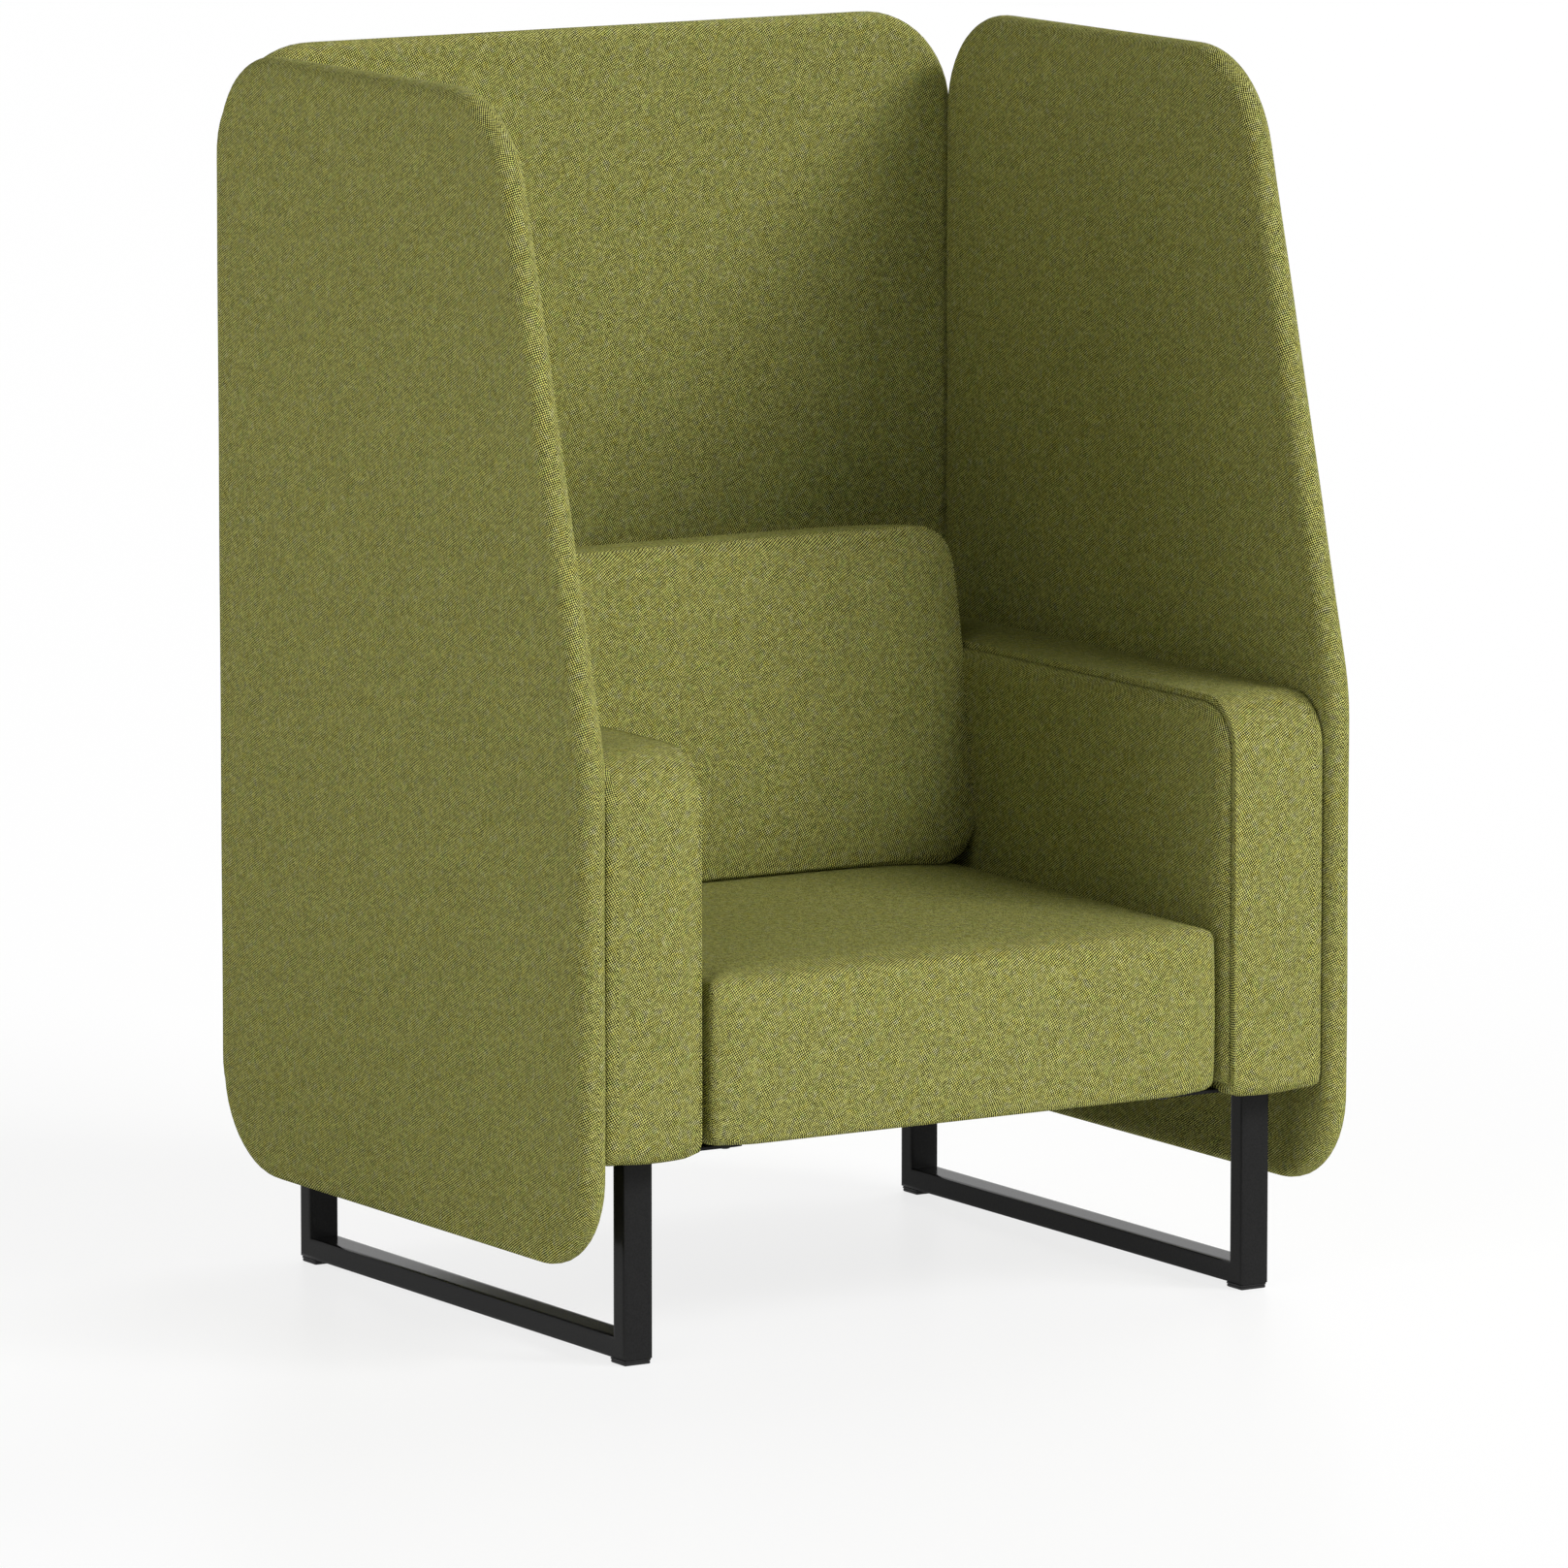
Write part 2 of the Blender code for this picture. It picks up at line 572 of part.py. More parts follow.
def backrest(cloth, timber):
    """The leaning back cushion, cut flat where it rests on the seat, and the board let into its rear."""
    foot = Vector((0, seat_front + SEAT_DEPTH, rest_level))
    lean = Matrix.Translation(foot) @ Matrix.Rotation(-BACK_LEAN, 4, "X")
    middle = lean @ Matrix.Translation((0, BACK_THICKNESS / 2, 0)) @ FACING_FRONT
    corners = rectangle(-back_half, BACK_LIFT, back_half, BACK_LIFT + BACK_HEIGHT, BACK_CORNER_RADIUS)
    mesh = padded_mesh(corners, BACK_THICKNESS, BACK_EDGE_RADIUS, SIDE_STEPS)
    centre = (0.0, BACK_LIFT + BACK_HEIGHT / 2)
    swell(mesh, (2 * back_half, BACK_HEIGHT, BACK_THICKNESS), centre, 0.0, BACK_CROWN, BACK_DRAW_IN)
    shade_soft(mesh)
    cushion = add_object("back_cushion", mesh, cloth, middle)
    reach = back_half + CUT_MARGIN
    ground = box_mesh((-reach, foot.y - BACK_THICKNESS, rest_level - BACK_THICKNESS),
                      (reach, foot.y + 2 * BACK_THICKNESS, rest_level))
    cut(cushion, add_cutter("back_rest_cut", ground))
    board_corners = inset(corners, BACK_WALL)
    rear = middle @ Matrix.Translation((0, 0, (BOARD_THICKNESS - BACK_THICKNESS) / 2))
    board = add_object("back_board", board_mesh(board_corners, BOARD_THICKNESS), timber, rear)
    room = board_mesh(inset(board_corners, -CONTACT_GAP), 2 * (BOARD_THICKNESS + CONTACT_GAP))
    outer_face = middle @ Matrix.Translation((0, 0, -BACK_THICKNESS / 2))
    cut(cushion, add_cutter("back_pocket", room, outer_face))
    return cushion, board, rear


def arm_bolts(side, label, mat, carcass, cover, side_core, side_pads, rear_core, rear_pads, back):
    """Bolts from inside the hollow arm into the side screen, the back screen and the back board.

    Each pair stands at even steps along the stretch of wall that it goes through.
    """
    outwards = Vector((side, 0, 0))
    lengthways = spread(carcass_front, carcass_rear, 5)
    upwards = spread(carcass_bottom, carcass_top, 5)
    length = CARCASS_WALL + ARM_OUTER_PAD + screen_padding + 2 * CONTACT_GAP + core_bite
    for end, along in (("front", lengthways[1]), ("rear", lengthways[3])):
        start = (side * (carcass_outer - CARCASS_WALL), along, upwards[2])
        drilled = (carcass, cover, side_core, *side_pads)
        bolt(f"{label}_{end}_screen_bolt", start, outwards, length, mat, drilled)
    length = CARCASS_WALL + ARM_REAR_PAD + screen_padding + 2 * CONTACT_GAP + core_bite
    for end, height in (("lower", upwards[1]), ("upper", upwards[3])):
        start = (side * (carcass_inner + carcass_outer) / 2, carcass_rear - CARCASS_WALL, height)
        drilled = (carcass, cover, rear_core, *rear_pads)
        bolt(f"{label}_{end}_back_screen_bolt", start, Vector((0, 1, 0)), length, mat, drilled)
    cushion, board, board_frame = back
    wall = carcass_inner + CARCASS_WALL
    length = wall - (back_half - BACK_WALL) + BOARD_END_BITE
    upwards = spread(rest_level, carcass_top - CARCASS_WALL, 4)
    for end, height in (("lower", upwards[1]), ("upper", upwards[2])):
        up_board = (height - board_frame.translation.z) / math.cos(BACK_LEAN)
        start = board_frame @ Vector((side * wall, up_board, 0))
        bolt(f"{label}_{end}_back_bolt", start, -outwards, length, mat, (carcass, cover, cushion, board))


def build():
    """Make every piece of the booth."""
    clear_scene()
    cloth = finish("woven_wool", (0.17, 0.19, 0.035), 0.9)
    timber = finish("birch_plywood", (0.55, 0.40, 0.24), 0.65)
    black_steel = finish("black_powder_coat", (0.022, 0.022, 0.023), 0.45)
    zinc_steel = finish("zinc_plated_steel", (0.62, 0.62, 0.60), 0.35, 1.0)
    black_plastic = finish("black_nylon", (0.016, 0.016, 0.016), 0.6)
    black_cloth = finish("black_dust_cloth", (0.012, 0.012, 0.012), 0.95)
    deck = seat(cloth, timber, black_cloth)
    back = backrest(cloth, timber)
    rear_core, rear_pads = back_screen(cloth, timber)
    for side, label in ((-1, "left"), (1, "right")):
        sled(side, label, black_steel, black_plastic)
        board, carcass, cover = arm(side, label, cloth, timber)
        link_plates(side, label, black_steel, black_steel, board, deck)
        plate_notches(side, label, cover)
        side_core, side_pads = side_screen(side, label, cloth, timber)
        arm_bolts(side, label, zinc_steel, carcass, cover, side_core, side_pads, rear_core, rear_pads, back)
    print(len(bpy.data.collections[BOOTH].objects), "pieces")


build()
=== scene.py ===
# %% [markdown]
# # A one-seat privacy booth
# The booth is an armchair inside three tall padded screens. Its frame comes ready made and fixed: boards,
# bolts, legs and plain solids for the soft parts. This lesson gives it its looks: cloth covers with seams,
# cushions that swell, painted steel, and the light of a photo studio. All lengths are metres, +Z is up and
# +Y is the back.

# %% Load the frame
import json
import math

import bpy
import numpy as np
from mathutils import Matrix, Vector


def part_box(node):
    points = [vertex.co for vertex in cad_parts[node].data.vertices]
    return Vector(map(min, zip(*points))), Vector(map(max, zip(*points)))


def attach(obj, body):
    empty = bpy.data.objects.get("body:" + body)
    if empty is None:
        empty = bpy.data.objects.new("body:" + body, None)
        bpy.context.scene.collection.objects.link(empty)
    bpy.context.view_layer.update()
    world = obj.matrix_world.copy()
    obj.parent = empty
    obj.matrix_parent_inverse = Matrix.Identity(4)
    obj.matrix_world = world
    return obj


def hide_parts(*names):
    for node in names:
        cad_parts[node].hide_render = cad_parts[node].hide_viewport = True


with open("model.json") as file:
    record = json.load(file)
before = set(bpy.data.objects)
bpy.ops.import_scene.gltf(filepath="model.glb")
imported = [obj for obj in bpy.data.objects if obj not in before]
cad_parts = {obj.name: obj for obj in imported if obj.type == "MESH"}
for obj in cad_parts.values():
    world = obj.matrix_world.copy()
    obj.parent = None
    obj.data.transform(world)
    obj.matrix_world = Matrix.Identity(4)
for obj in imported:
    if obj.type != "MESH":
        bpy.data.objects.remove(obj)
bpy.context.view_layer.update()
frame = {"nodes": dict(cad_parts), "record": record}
SIDES = {"left": -1, "right": 1}

# %% [markdown]
# ## The camera
# A product photographer stands far away with a long lens, so that upright edges stay upright. The place and
# the lens below were worked out from the straight edges of the legs, seat and screens in the photograph.

# %% Camera
CAMERA_PLACE = (-7.4216, -11.9487, 2.7554)
CAMERA_DOWN = math.radians(8.7730)
CAMERA_TURN = math.radians(31.8886)
CAMERA_LENS = 277.83
SENSOR = 36.0

lens = bpy.data.cameras.new("studio_camera")
lens.lens = CAMERA_LENS
lens.sensor_width = SENSOR
lens.clip_start = 0.5
lens.clip_end = 200.0
camera = bpy.data.objects.new("studio_camera", lens)
camera.location = CAMERA_PLACE
camera.rotation_euler = (math.pi / 2 - CAMERA_DOWN, 0.0, -CAMERA_TURN)
bpy.context.scene.collection.objects.link(camera)
bpy.context.scene.camera = camera
print("camera", CAMERA_LENS, "mm lens")

# %% [markdown]
# ## Colours and nodes
# Colours are written as the hex values that a picture editor shows. A shader counts in linear light, so one
# function converts them. Every shader node is added by one more function, which sets the node up and links
# it in one go.


# %% Helpers for materials
def paint(hex_colour):
    """Linear RGBA from an sRGB hex colour: each channel is decoded with the sRGB curve."""
    channels = np.array([int(hex_colour[i:i + 2], 16) for i in (1, 3, 5)]) / 255.0
    linear = np.where(channels <= 0.04045, channels / 12.92, ((channels + 0.055) / 1.055) ** 2.4)
    return (*linear, 1.0)


def put(tree, kind, inputs=(), **settings):
    """Adds a node. Each input is a pair: a socket of the node, and a value or the output that feeds it."""
    node = tree.nodes.new(kind)
    for name, value in settings.items():
        setattr(node, name, value)
    for socket, source in inputs:
        if isinstance(source, bpy.types.NodeSocket):
            tree.links.new(source, node.inputs[socket])
        else:
            node.inputs[socket].default_value = source
    return node


def blank_material(name):
    """A material with one Principled shader and nothing else, as (material, tree, shader)."""
    material = bpy.data.materials.new(name)
    material.use_nodes = True
    tree = material.node_tree
    return material, tree, tree.nodes["Principled BSDF"]


# %% [markdown]
# ## The cover cloth: a wool hopsack
# Everything soft wears one cloth: a heavy wool hopsack, woven from yellow-green and charcoal yarns. From a
# step away it is a lattice of small bright bumps with dark gaps between them, set at a slant. The gaps are
# darkened in the colour by the lattice's height: partly the charcoal yarn, partly painted shade in the
# hollows of the weave. Slubs make some bumps paler and others darker, and in wider patches the wool is
# greyer, greener or yellower. It is matt, with a little fuzz. A picture of cloth would repeat and blur, so
# nodes work out the weave. It runs on each cover's own UV map, which is in metres, so it keeps its size and
# follows every panel round its edges. The real bumps are about 2.4 mm apart. They are drawn 2.5 mm apart
# here, just coarse enough to show in the picture.

# %% Hopsack weave
BUMP_PITCH = 0.0025
WEAVE_SLANT = math.radians(-29.0)
# The rows wander once in about eight bumps, and a slub is about two bumps wide
WANDER = 0.12
SLUB = 1.8
# Shares of the tone: the lattice's height, which paints shade into the gaps, each bump's own chance, and the
# slubs
LATTICE_SHADE_SHARE = 0.62
CHANCE_SHARE = 0.36
SLUB_SHARE = 0.50
TURN = 2 * math.pi


def weave(tree):
    """The lattice, its height cos p + cos q over the slanted directions p and q, and its tone.

    The tone is 1/2 on average: shares of the height, which paints shade into the gaps between the bumps, of
    one random number for each bump and of a noise.
    """
    uv = put(tree, "ShaderNodeUVMap", uv_map="cloth").outputs[0]
    # The lattice drifts by a fraction of a bump, so that no row is ruler straight
    wander = put(tree, "ShaderNodeTexNoise",
                 [("Vector", uv), ("Scale", WANDER / BUMP_PITCH), ("Detail", 1.0)])
    drift = put(tree, "ShaderNodeVectorMath",
                [(0, wander.outputs["Color"]), (1, (BUMP_PITCH,) * 3), (2, uv)], operation="MULTIPLY_ADD")
    lattice = put(tree, "ShaderNodeMapping",
                  [("Vector", drift.outputs[0]), ("Rotation", (0.0, 0.0, WEAVE_SLANT)),
                   ("Scale", (1 / BUMP_PITCH,) * 3)]).outputs[0]
    axes = put(tree, "ShaderNodeSeparateXYZ", [(0, lattice)])
    waves = []
    for axis in (0, 1):
        angle = put(tree, "ShaderNodeMath", [(0, axes.outputs[axis]), (1, TURN)], operation="MULTIPLY")
        waves.append(put(tree, "ShaderNodeMath", [(0, angle.outputs[0])], operation="COSINE").outputs[0])
    height = put(tree, "ShaderNodeMath", [(0, waves[0]), (1, waves[1])]).outputs[0]
    # Slubs, where the yarn is thicker or thinner
    slub = put(tree, "ShaderNodeTexNoise", [("Vector", lattice), ("Scale", 1 / SLUB), ("Detail", 2.0)])
    # One random number for each bump, because no two loops of yarn are dyed alike
    centred = put(tree, "ShaderNodeVectorMath", [(0, lattice), (1, (0.5, 0.5, 0.0))])
    cell = put(tree, "ShaderNodeVectorMath", [(0, centred.outputs[0])], operation="FLOOR")
    chance = put(tree, "ShaderNodeTexWhiteNoise", [("Vector", cell.outputs[0])], noise_dimensions="2D")
    tone = (1 - CHANCE_SHARE - SLUB_SHARE) / 2
    # The height's share darkens the gaps between the bumps: painted shade
    for part, share in ((height, LATTICE_SHADE_SHARE), (chance.outputs["Value"], CHANCE_SHARE),
                        (slub.outputs[0], SLUB_SHARE)):
        tone = put(tree, "ShaderNodeMath", [(0, part), (1, share), (2, tone)],
                   operation="MULTIPLY_ADD").outputs[0]
    return lattice, height, tone


# %% Hopsack material
BUMP_HEIGHT = 0.0006
# Yarn colours from near black, where the weave's gaps carry painted shade, to the bright yarn
YARN_AND_SHADE_STOPS = ((0.0, "#050500"), (0.5, "#32320D"), (1.0, "#D3D27B"))
# Tints of the wool with their largest shares, the patches' width in bumps, and their range in the noise
YARN_TINTS = (("#80807A", 0.30), ("#6C803E", 0.32), ("#A89E28", 0.36))
SPUN_PATCH = 3.5
TINT_START = 0.52
TINT_FULL = 0.75
# Wool is rough and hardly shines, and its fuzz gives a trace of sheen
WOOL = {"Roughness": 0.95, "Specular IOR Level": 0.04, "Sheen Weight": 0.02, "Sheen Roughness": 0.5,
        "Sheen Tint": paint("#B5B55A")}


def hopsack():
    """The weave's tone through a ramp of yarn colours, with painted shade in its gaps, tinted in patches,
    with its height as bump.
    """
    material, tree, shader = blank_material("wool_hopsack")
    lattice, height, tone = weave(tree)
    yarn = put(tree, "ShaderNodeValToRGB", [(0, tone)])
    stops = yarn.color_ramp.elements
    stops.new(YARN_AND_SHADE_STOPS[1][0])
    for stop, (place, dye) in zip(stops, YARN_AND_SHADE_STOPS):
        stop.position = place
        stop.color = paint(dye)
    # Wider patches where the wool was spun greyer, greener or yellower
    patch = put(tree, "ShaderNodeTexNoise",
                [("Vector", lattice), ("Scale", 1 / SPUN_PATCH), ("Detail", 2.0)])
    tints = put(tree, "ShaderNodeSeparateColor", [(0, patch.outputs["Color"])])
    colour = yarn.outputs[0]
    for channel, (tint, most) in enumerate(YARN_TINTS):
        share = put(tree, "ShaderNodeMapRange", [("Value", tints.outputs[channel]), ("From Min", TINT_START),
                                                 ("From Max", TINT_FULL), ("To Max", most)])
        colour = put(tree, "ShaderNodeMix", [("Factor", share.outputs[0]), (6, colour), (7, paint(tint))],
                     data_type="RGBA", blend_type="COLOR").outputs[2]
    # The height runs from -2 to 2
    bump = put(tree, "ShaderNodeBump", [("Height", height), ("Distance", BUMP_HEIGHT / 4)])
    tree.links.new(colour, shader.inputs["Base Color"])
    tree.links.new(bump.outputs[0], shader.inputs["Normal"])
    for socket, value in WOOL.items():
        shader.inputs[socket].default_value = value
    return material


CLOTH = hopsack()
print("cloth: bumps", BUMP_PITCH * 1000, "mm apart")

# %% [markdown]
# ## Painted steel, nylon, bolts, plywood and the dust cloth
# The sled legs are powder coated: plastic powder baked on steel, black, with a faint orange peel. The
# glides are moulded black nylon with a fine spark-eroded grain. The screws under the plates are blackened,
# and the bolts inside are zinc plated. The boards are birch plywood, which hides inside the covers, and the
# black cloth under the seat is a pressed felt of fine fibres. All of them follow one recipe: two close
# tones mixed by noise as coarse as the real grain, which also raises the surface and varies its gloss.

# %% Hard materials
NOISE_RANGE = (0.30, 0.70)
GRAIN_STRENGTH = 0.4
GLOSS_SPREAD = 0.12


def grained(name, dark, light, grain, roughness, bump_depth, metallic=0.0, specular=0.5,
            stretch=(1.0, 1.0, 1.0)):
    """A finish between two tones, mixed by noise of a given grain size, which also raises it."""
    material, tree, shader = blank_material(name)
    coordinates = put(tree, "ShaderNodeTexCoord")
    scaled = put(tree, "ShaderNodeMapping", [("Vector", coordinates.outputs["Object"]), ("Scale", stretch)])
    noise = put(tree, "ShaderNodeTexNoise",
                [("Vector", scaled.outputs[0]), ("Scale", 1.0 / grain), ("Detail", 4.0)]).outputs[0]
    ramp = put(tree, "ShaderNodeValToRGB", [(0, noise)])
    for stop, place, tone in zip(ramp.color_ramp.elements, NOISE_RANGE, (dark, light)):
        stop.position = place
        stop.color = paint(tone)
    bump = put(tree, "ShaderNodeBump",
               [("Height", noise), ("Strength", GRAIN_STRENGTH), ("Distance", bump_depth)])
    gloss = put(tree, "ShaderNodeMath", [(0, noise), (1, GLOSS_SPREAD), (2, roughness - GLOSS_SPREAD / 2)],
                operation="MULTIPLY_ADD")
    tree.links.new(ramp.outputs[0], shader.inputs["Base Color"])
    tree.links.new(gloss.outputs[0], shader.inputs["Roughness"])
    tree.links.new(bump.outputs[0], shader.inputs["Normal"])
    shader.inputs["Metallic"].default_value = metallic
    shader.inputs["Specular IOR Level"].default_value = specular
    return material


# Black paint, smooth enough to mirror the white studio where it is seen at a low angle
POWDER_COAT = grained("satin_powder_coat", "#1D1D1D", "#242424", 0.0022, 0.17, 0.00004, specular=0.06)
# A dull black plastic
NYLON = grained("moulded_nylon", "#0F0F0F", "#161616", 0.0008, 0.58, 0.00005, specular=0.3)
# A thin dark layer on steel, which hides the metal's mirror
BLACK_OXIDE = grained("black_oxide_steel", "#101011", "#1A1A1C", 0.0015, 0.45, 0.00002, specular=0.3)
# A cloudy grey metal
ZINC = grained("zinc_plate", "#A9AAA6", "#C9C9C2", 0.0030, 0.34, 0.00003, metallic=1.0)
# Pale wood with long streaks
PLYWOOD = grained("birch_plywood", "#B08D60", "#CDAF82", 0.0060, 0.62, 0.00010, stretch=(1.0, 0.06, 1.0))
# Matt black with loose fibres
FELT = grained("pressed_felt", "#101010", "#1C1C1C", 0.0012, 0.95, 0.00020)
print("materials:", len(bpy.data.materials))

# %% [markdown]
# ## One way to make every cover
# A cover is a closed slab. Its outline is drawn flat, with an arc at each corner. Rings of that outline,
# each moved inwards by its own inset, are stacked along the slab's thickness, so a list of (inset, height)
# rows draws the edge: a bullnose, a seam's groove or a bead. A Coons patch closes each end: it blends the
# four sides of the last ring, so the mesh has no pole and its cells stay nearly square. The cloth's UV map
# is unrolled from the flat ends outwards, and a band between two seams is unrolled along its own length.

# %% Outline rings
ARC_STEPS = 16
LEAST_RADIUS = 0.0004


def unit(vectors):
    """Each row divided by its length."""
    return vectors / np.linalg.norm(vectors, axis=-1, keepdims=True)


def outline_ring(corners, inset, counts):
    """The outline moved inwards by inset, as points, outward normals and lengths along it.

    A corner (a, b, radius) is an arc that touches both its sides; its centre lies on the bisector at
    (inset + radius) / sin(half angle). The ring starts in the middle of the first corner's arc, and
    each of the four stretches between the first four corners' middles has counts[k] equal steps.
    """
    place, radius = corners[:, :2], corners[:, 2]
    back = unit(np.roll(place, 1, axis=0) - place)
    ahead = unit(np.roll(place, -1, axis=0) - place)
    half = np.arccos((back * ahead).sum(axis=1)) / 2
    small = np.maximum(radius - inset, LEAST_RADIUS)
    centre = place + unit(back + ahead) * ((inset + small) / np.sin(half))[:, None]
    first = np.arctan2(back[:, 0], -back[:, 1])
    angle = first[:, None] + (math.pi - 2 * half)[:, None] * np.linspace(0, 1, ARC_STEPS + 1)
    heading = np.unwrap(angle.ravel())
    arc = small[:, None, None] * np.stack([np.cos(angle), np.sin(angle)], axis=-1)
    fine = (centre[:, None, :] + arc).reshape(-1, 2)
    start = ARC_STEPS // 2
    fine = np.concatenate([fine[start:], fine[:start + 1]])
    heading = np.concatenate([heading[start:], heading[:start + 1] + TURN])
    run = np.concatenate([[0.0], np.cumsum(np.linalg.norm(np.diff(fine, axis=0), axis=1))])
    marks = np.append(run[np.arange(4) * (ARC_STEPS + 1)], run[-1])
    along = np.concatenate([np.linspace(marks[k], marks[k + 1], counts[k], endpoint=False) for k in range(4)])
    points = np.stack([np.interp(along, run, fine[:, k]) for k in (0, 1)], axis=1)
    facing = np.interp(along, run, heading)
    return points, np.stack([np.cos(facing), np.sin(facing)], axis=1), np.append(along, run[-1])


# %% Slabs
def coons_patch(ring, counts):
    """Points across a ring's inside: opposite sides blended both ways, less the corners blended twice."""
    wide, tall = counts[0], counts[1]
    closed = np.concatenate([ring, ring[:1]])
    south, east = closed[:wide + 1], closed[wide:wide + tall + 1]
    north, west = closed[wide + tall:2 * wide + tall + 1][::-1], closed[2 * wide + tall:][::-1]
    u = np.linspace(0, 1, wide + 1)[:, None, None]
    v = np.linspace(0, 1, tall + 1)[None, :, None]
    across = (1 - v) * south[:, None] + v * north[:, None] + (1 - u) * west[None] + u * east[None]
    twice = ((1 - u) * (1 - v) * south[0] + u * (1 - v) * south[-1]
             + (1 - u) * v * north[0] + u * v * north[-1])
    return across - twice


def patch_indices(counts, border, first_free):
    """Vertex numbers of a patch: its rim has the ring's own, and its inside counts on from first_free."""
    wide, tall = counts[0], counts[1]
    closed = np.append(border, border[0])
    index = np.empty((wide + 1, tall + 1), int)
    index[1:-1, 1:-1] = first_free + np.arange((wide - 1) * (tall - 1)).reshape(wide - 1, tall - 1)
    index[:, 0], index[-1, :] = closed[:wide + 1], closed[wide:wide + tall + 1]
    index[:, -1], index[0, :] = closed[wide + tall:2 * wide + tall + 1][::-1], closed[2 * wide + tall:][::-1]
    return index


def grid_quads(values):
    """The four corners of every cell of a grid, counter-clockwise."""
    return np.stack([values[:-1, :-1], values[1:, :-1], values[1:, 1:], values[:-1, 1:]], axis=2)


def slab(corners, rows, counts, seams=None, band_turned=False):
    """A closed slab as (points, quads, uvs) in its own frame: a and b across, w along its thickness.

    rows are (inset, height) from the low end to the high one. seams are the two row numbers between which
    the cloth is a band, unrolled as (length round, length across) so that it carries on from the high end
    over the first side, or turned a quarter; without seams the cloth splits half way.
    """
    corners = np.array(corners, float)
    rows = np.array(rows, float)
    levels, around = len(rows), sum(counts)
    seams = seams or (levels // 2, levels // 2)
    rings = [outline_ring(corners, inset, counts) for inset in rows[:, 0]]
    flat = np.array([ring[0] for ring in rings])
    stack = np.concatenate([flat, np.repeat(rows[:, 1], around).reshape(levels, around, 1)], axis=2)
    ends = [coons_patch(flat[0], counts), coons_patch(flat[-1], counts)]
    inside = (counts[0] - 1) * (counts[1] - 1)
    number = np.arange(levels * around).reshape(levels, around)
    low = patch_indices(counts, number[0], levels * around)
    high = patch_indices(counts, number[-1], levels * around + inside)
    caps = [np.concatenate([end[1:-1, 1:-1].reshape(-1, 2), np.full((inside, 1), height)], axis=1)
            for end, height in zip(ends, rows[[0, -1], 1])]
    points = np.concatenate([stack.reshape(-1, 3), *caps])
    # Lengths along the edge profile, from the low end's rim
    depth = np.concatenate([[0.0], np.cumsum(np.linalg.norm(np.diff(rows, axis=0), axis=1))])
    flip = np.array([-1.0, 1.0])
    normal, inset = np.array([ring[1] for ring in rings]), rows[:, 0]
    spread_low = (flat + normal * (depth + inset - inset[0])[:, None, None]) * flip
    spread_high = flat + normal * (depth[-1] - depth + inset - inset[-1])[:, None, None]
    run = np.broadcast_to(rings[seams[0]][2], (levels, around + 1))
    across = np.broadcast_to(depth[:, None], run.shape)
    middle = counts[0] // 2
    start = flat[-1][middle] - (run[0, middle], depth[-1])
    band = np.stack([across, -run] if band_turned else [run + start[0], across + start[1]], axis=2)
    wrapped = [np.concatenate([sheet, sheet[:, :1]], axis=1) for sheet in (spread_low, spread_high)]
    row_number = np.arange(levels - 1)[:, None, None, None]
    from_low, from_seam, from_high = [grid_quads(sheet.transpose(1, 0, 2)).transpose(1, 0, 2, 3)
                                      for sheet in (wrapped[0], band, wrapped[1])]
    side_uv = np.where(row_number < seams[1], from_seam, from_high)
    side_uv = np.where(row_number < seams[0], from_low, side_uv)
    ring_number = np.concatenate([number, number[:, :1]], axis=1)
    side_quads = grid_quads(ring_number.T).transpose(1, 0, 2)
    low_uv = grid_quads(ends[0] * flip)
    quads = np.concatenate([side_quads.reshape(-1, 4), grid_quads(low).reshape(-1, 4)[:, ::-1],
                            grid_quads(high).reshape(-1, 4)])
    uvs = np.concatenate([side_uv.reshape(-1, 4, 2), low_uv.reshape(-1, 4, 2)[:, ::-1],
                          grid_quads(ends[1]).reshape(-1, 4, 2)])
    return points, quads, uvs


def rectangle(left, right, bottom, top, radius):
    """Corners of a rectangle, counter-clockwise, each with the same radius."""
    return [(left, bottom, radius), (right, bottom, radius), (right, top, radius), (left, top, radius)]


# %% Pieces from arrays
SHARP_TURN = math.radians(40)
LYING = np.eye(3)
FACING_SIDE = np.array([[0.0, 1.0, 0.0], [0.0, 0.0, 1.0], [1.0, 0.0, 0.0]])
FACING_FRONT = np.array([[1.0, 0.0, 0.0], [0.0, 0.0, 1.0], [0.0, -1.0, 0.0]])


def piece(name, points, quads, uvs, material, stands_for=()):
    """A smooth mesh at the origin that rides on the frame, with its cloth map, slot and replaced nodes."""
    mesh = bpy.data.meshes.new(name)
    mesh.from_pydata(points.tolist(), [], quads.tolist())
    if uvs is not None:
        layer = mesh.uv_layers.new(name="cloth")
        layer.uv.foreach_set("vector", uvs.astype(np.float32).ravel())
    mesh.materials.append(material)
    mesh.shade_smooth()
    mesh.validate()
    obj = bpy.data.objects.new(name, mesh)
    bpy.context.scene.collection.objects.link(obj)
    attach(obj, "root")
    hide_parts(*stands_for)
    print(name, len(points), "points", len(quads), "faces")
    return obj


def hard_piece(name, points, quads, material, stands_for):
    """A piece without cloth, whose edges sharper than SHARP_TURN stay crisp."""
    obj = piece(name, points, quads, None, material, stands_for)
    obj.data.set_sharp_from_angle(angle=SHARP_TURN)


def placed(points, axes, origin):
    """Points of a slab's own frame in the booth: each coordinate along its axis, from the origin."""
    return points @ axes + np.asarray(origin, float)


# %% [markdown]
# ## The three screens
# A screen is a board with foam on both faces and one cloth drawn round it, so its edge is a full bullnose
# with no seam on show. The side screens stand upright at the arm, then slant back above it. A flat sheet of
# foam is never quite even, so the faces carry a very shallow, wide ripple.

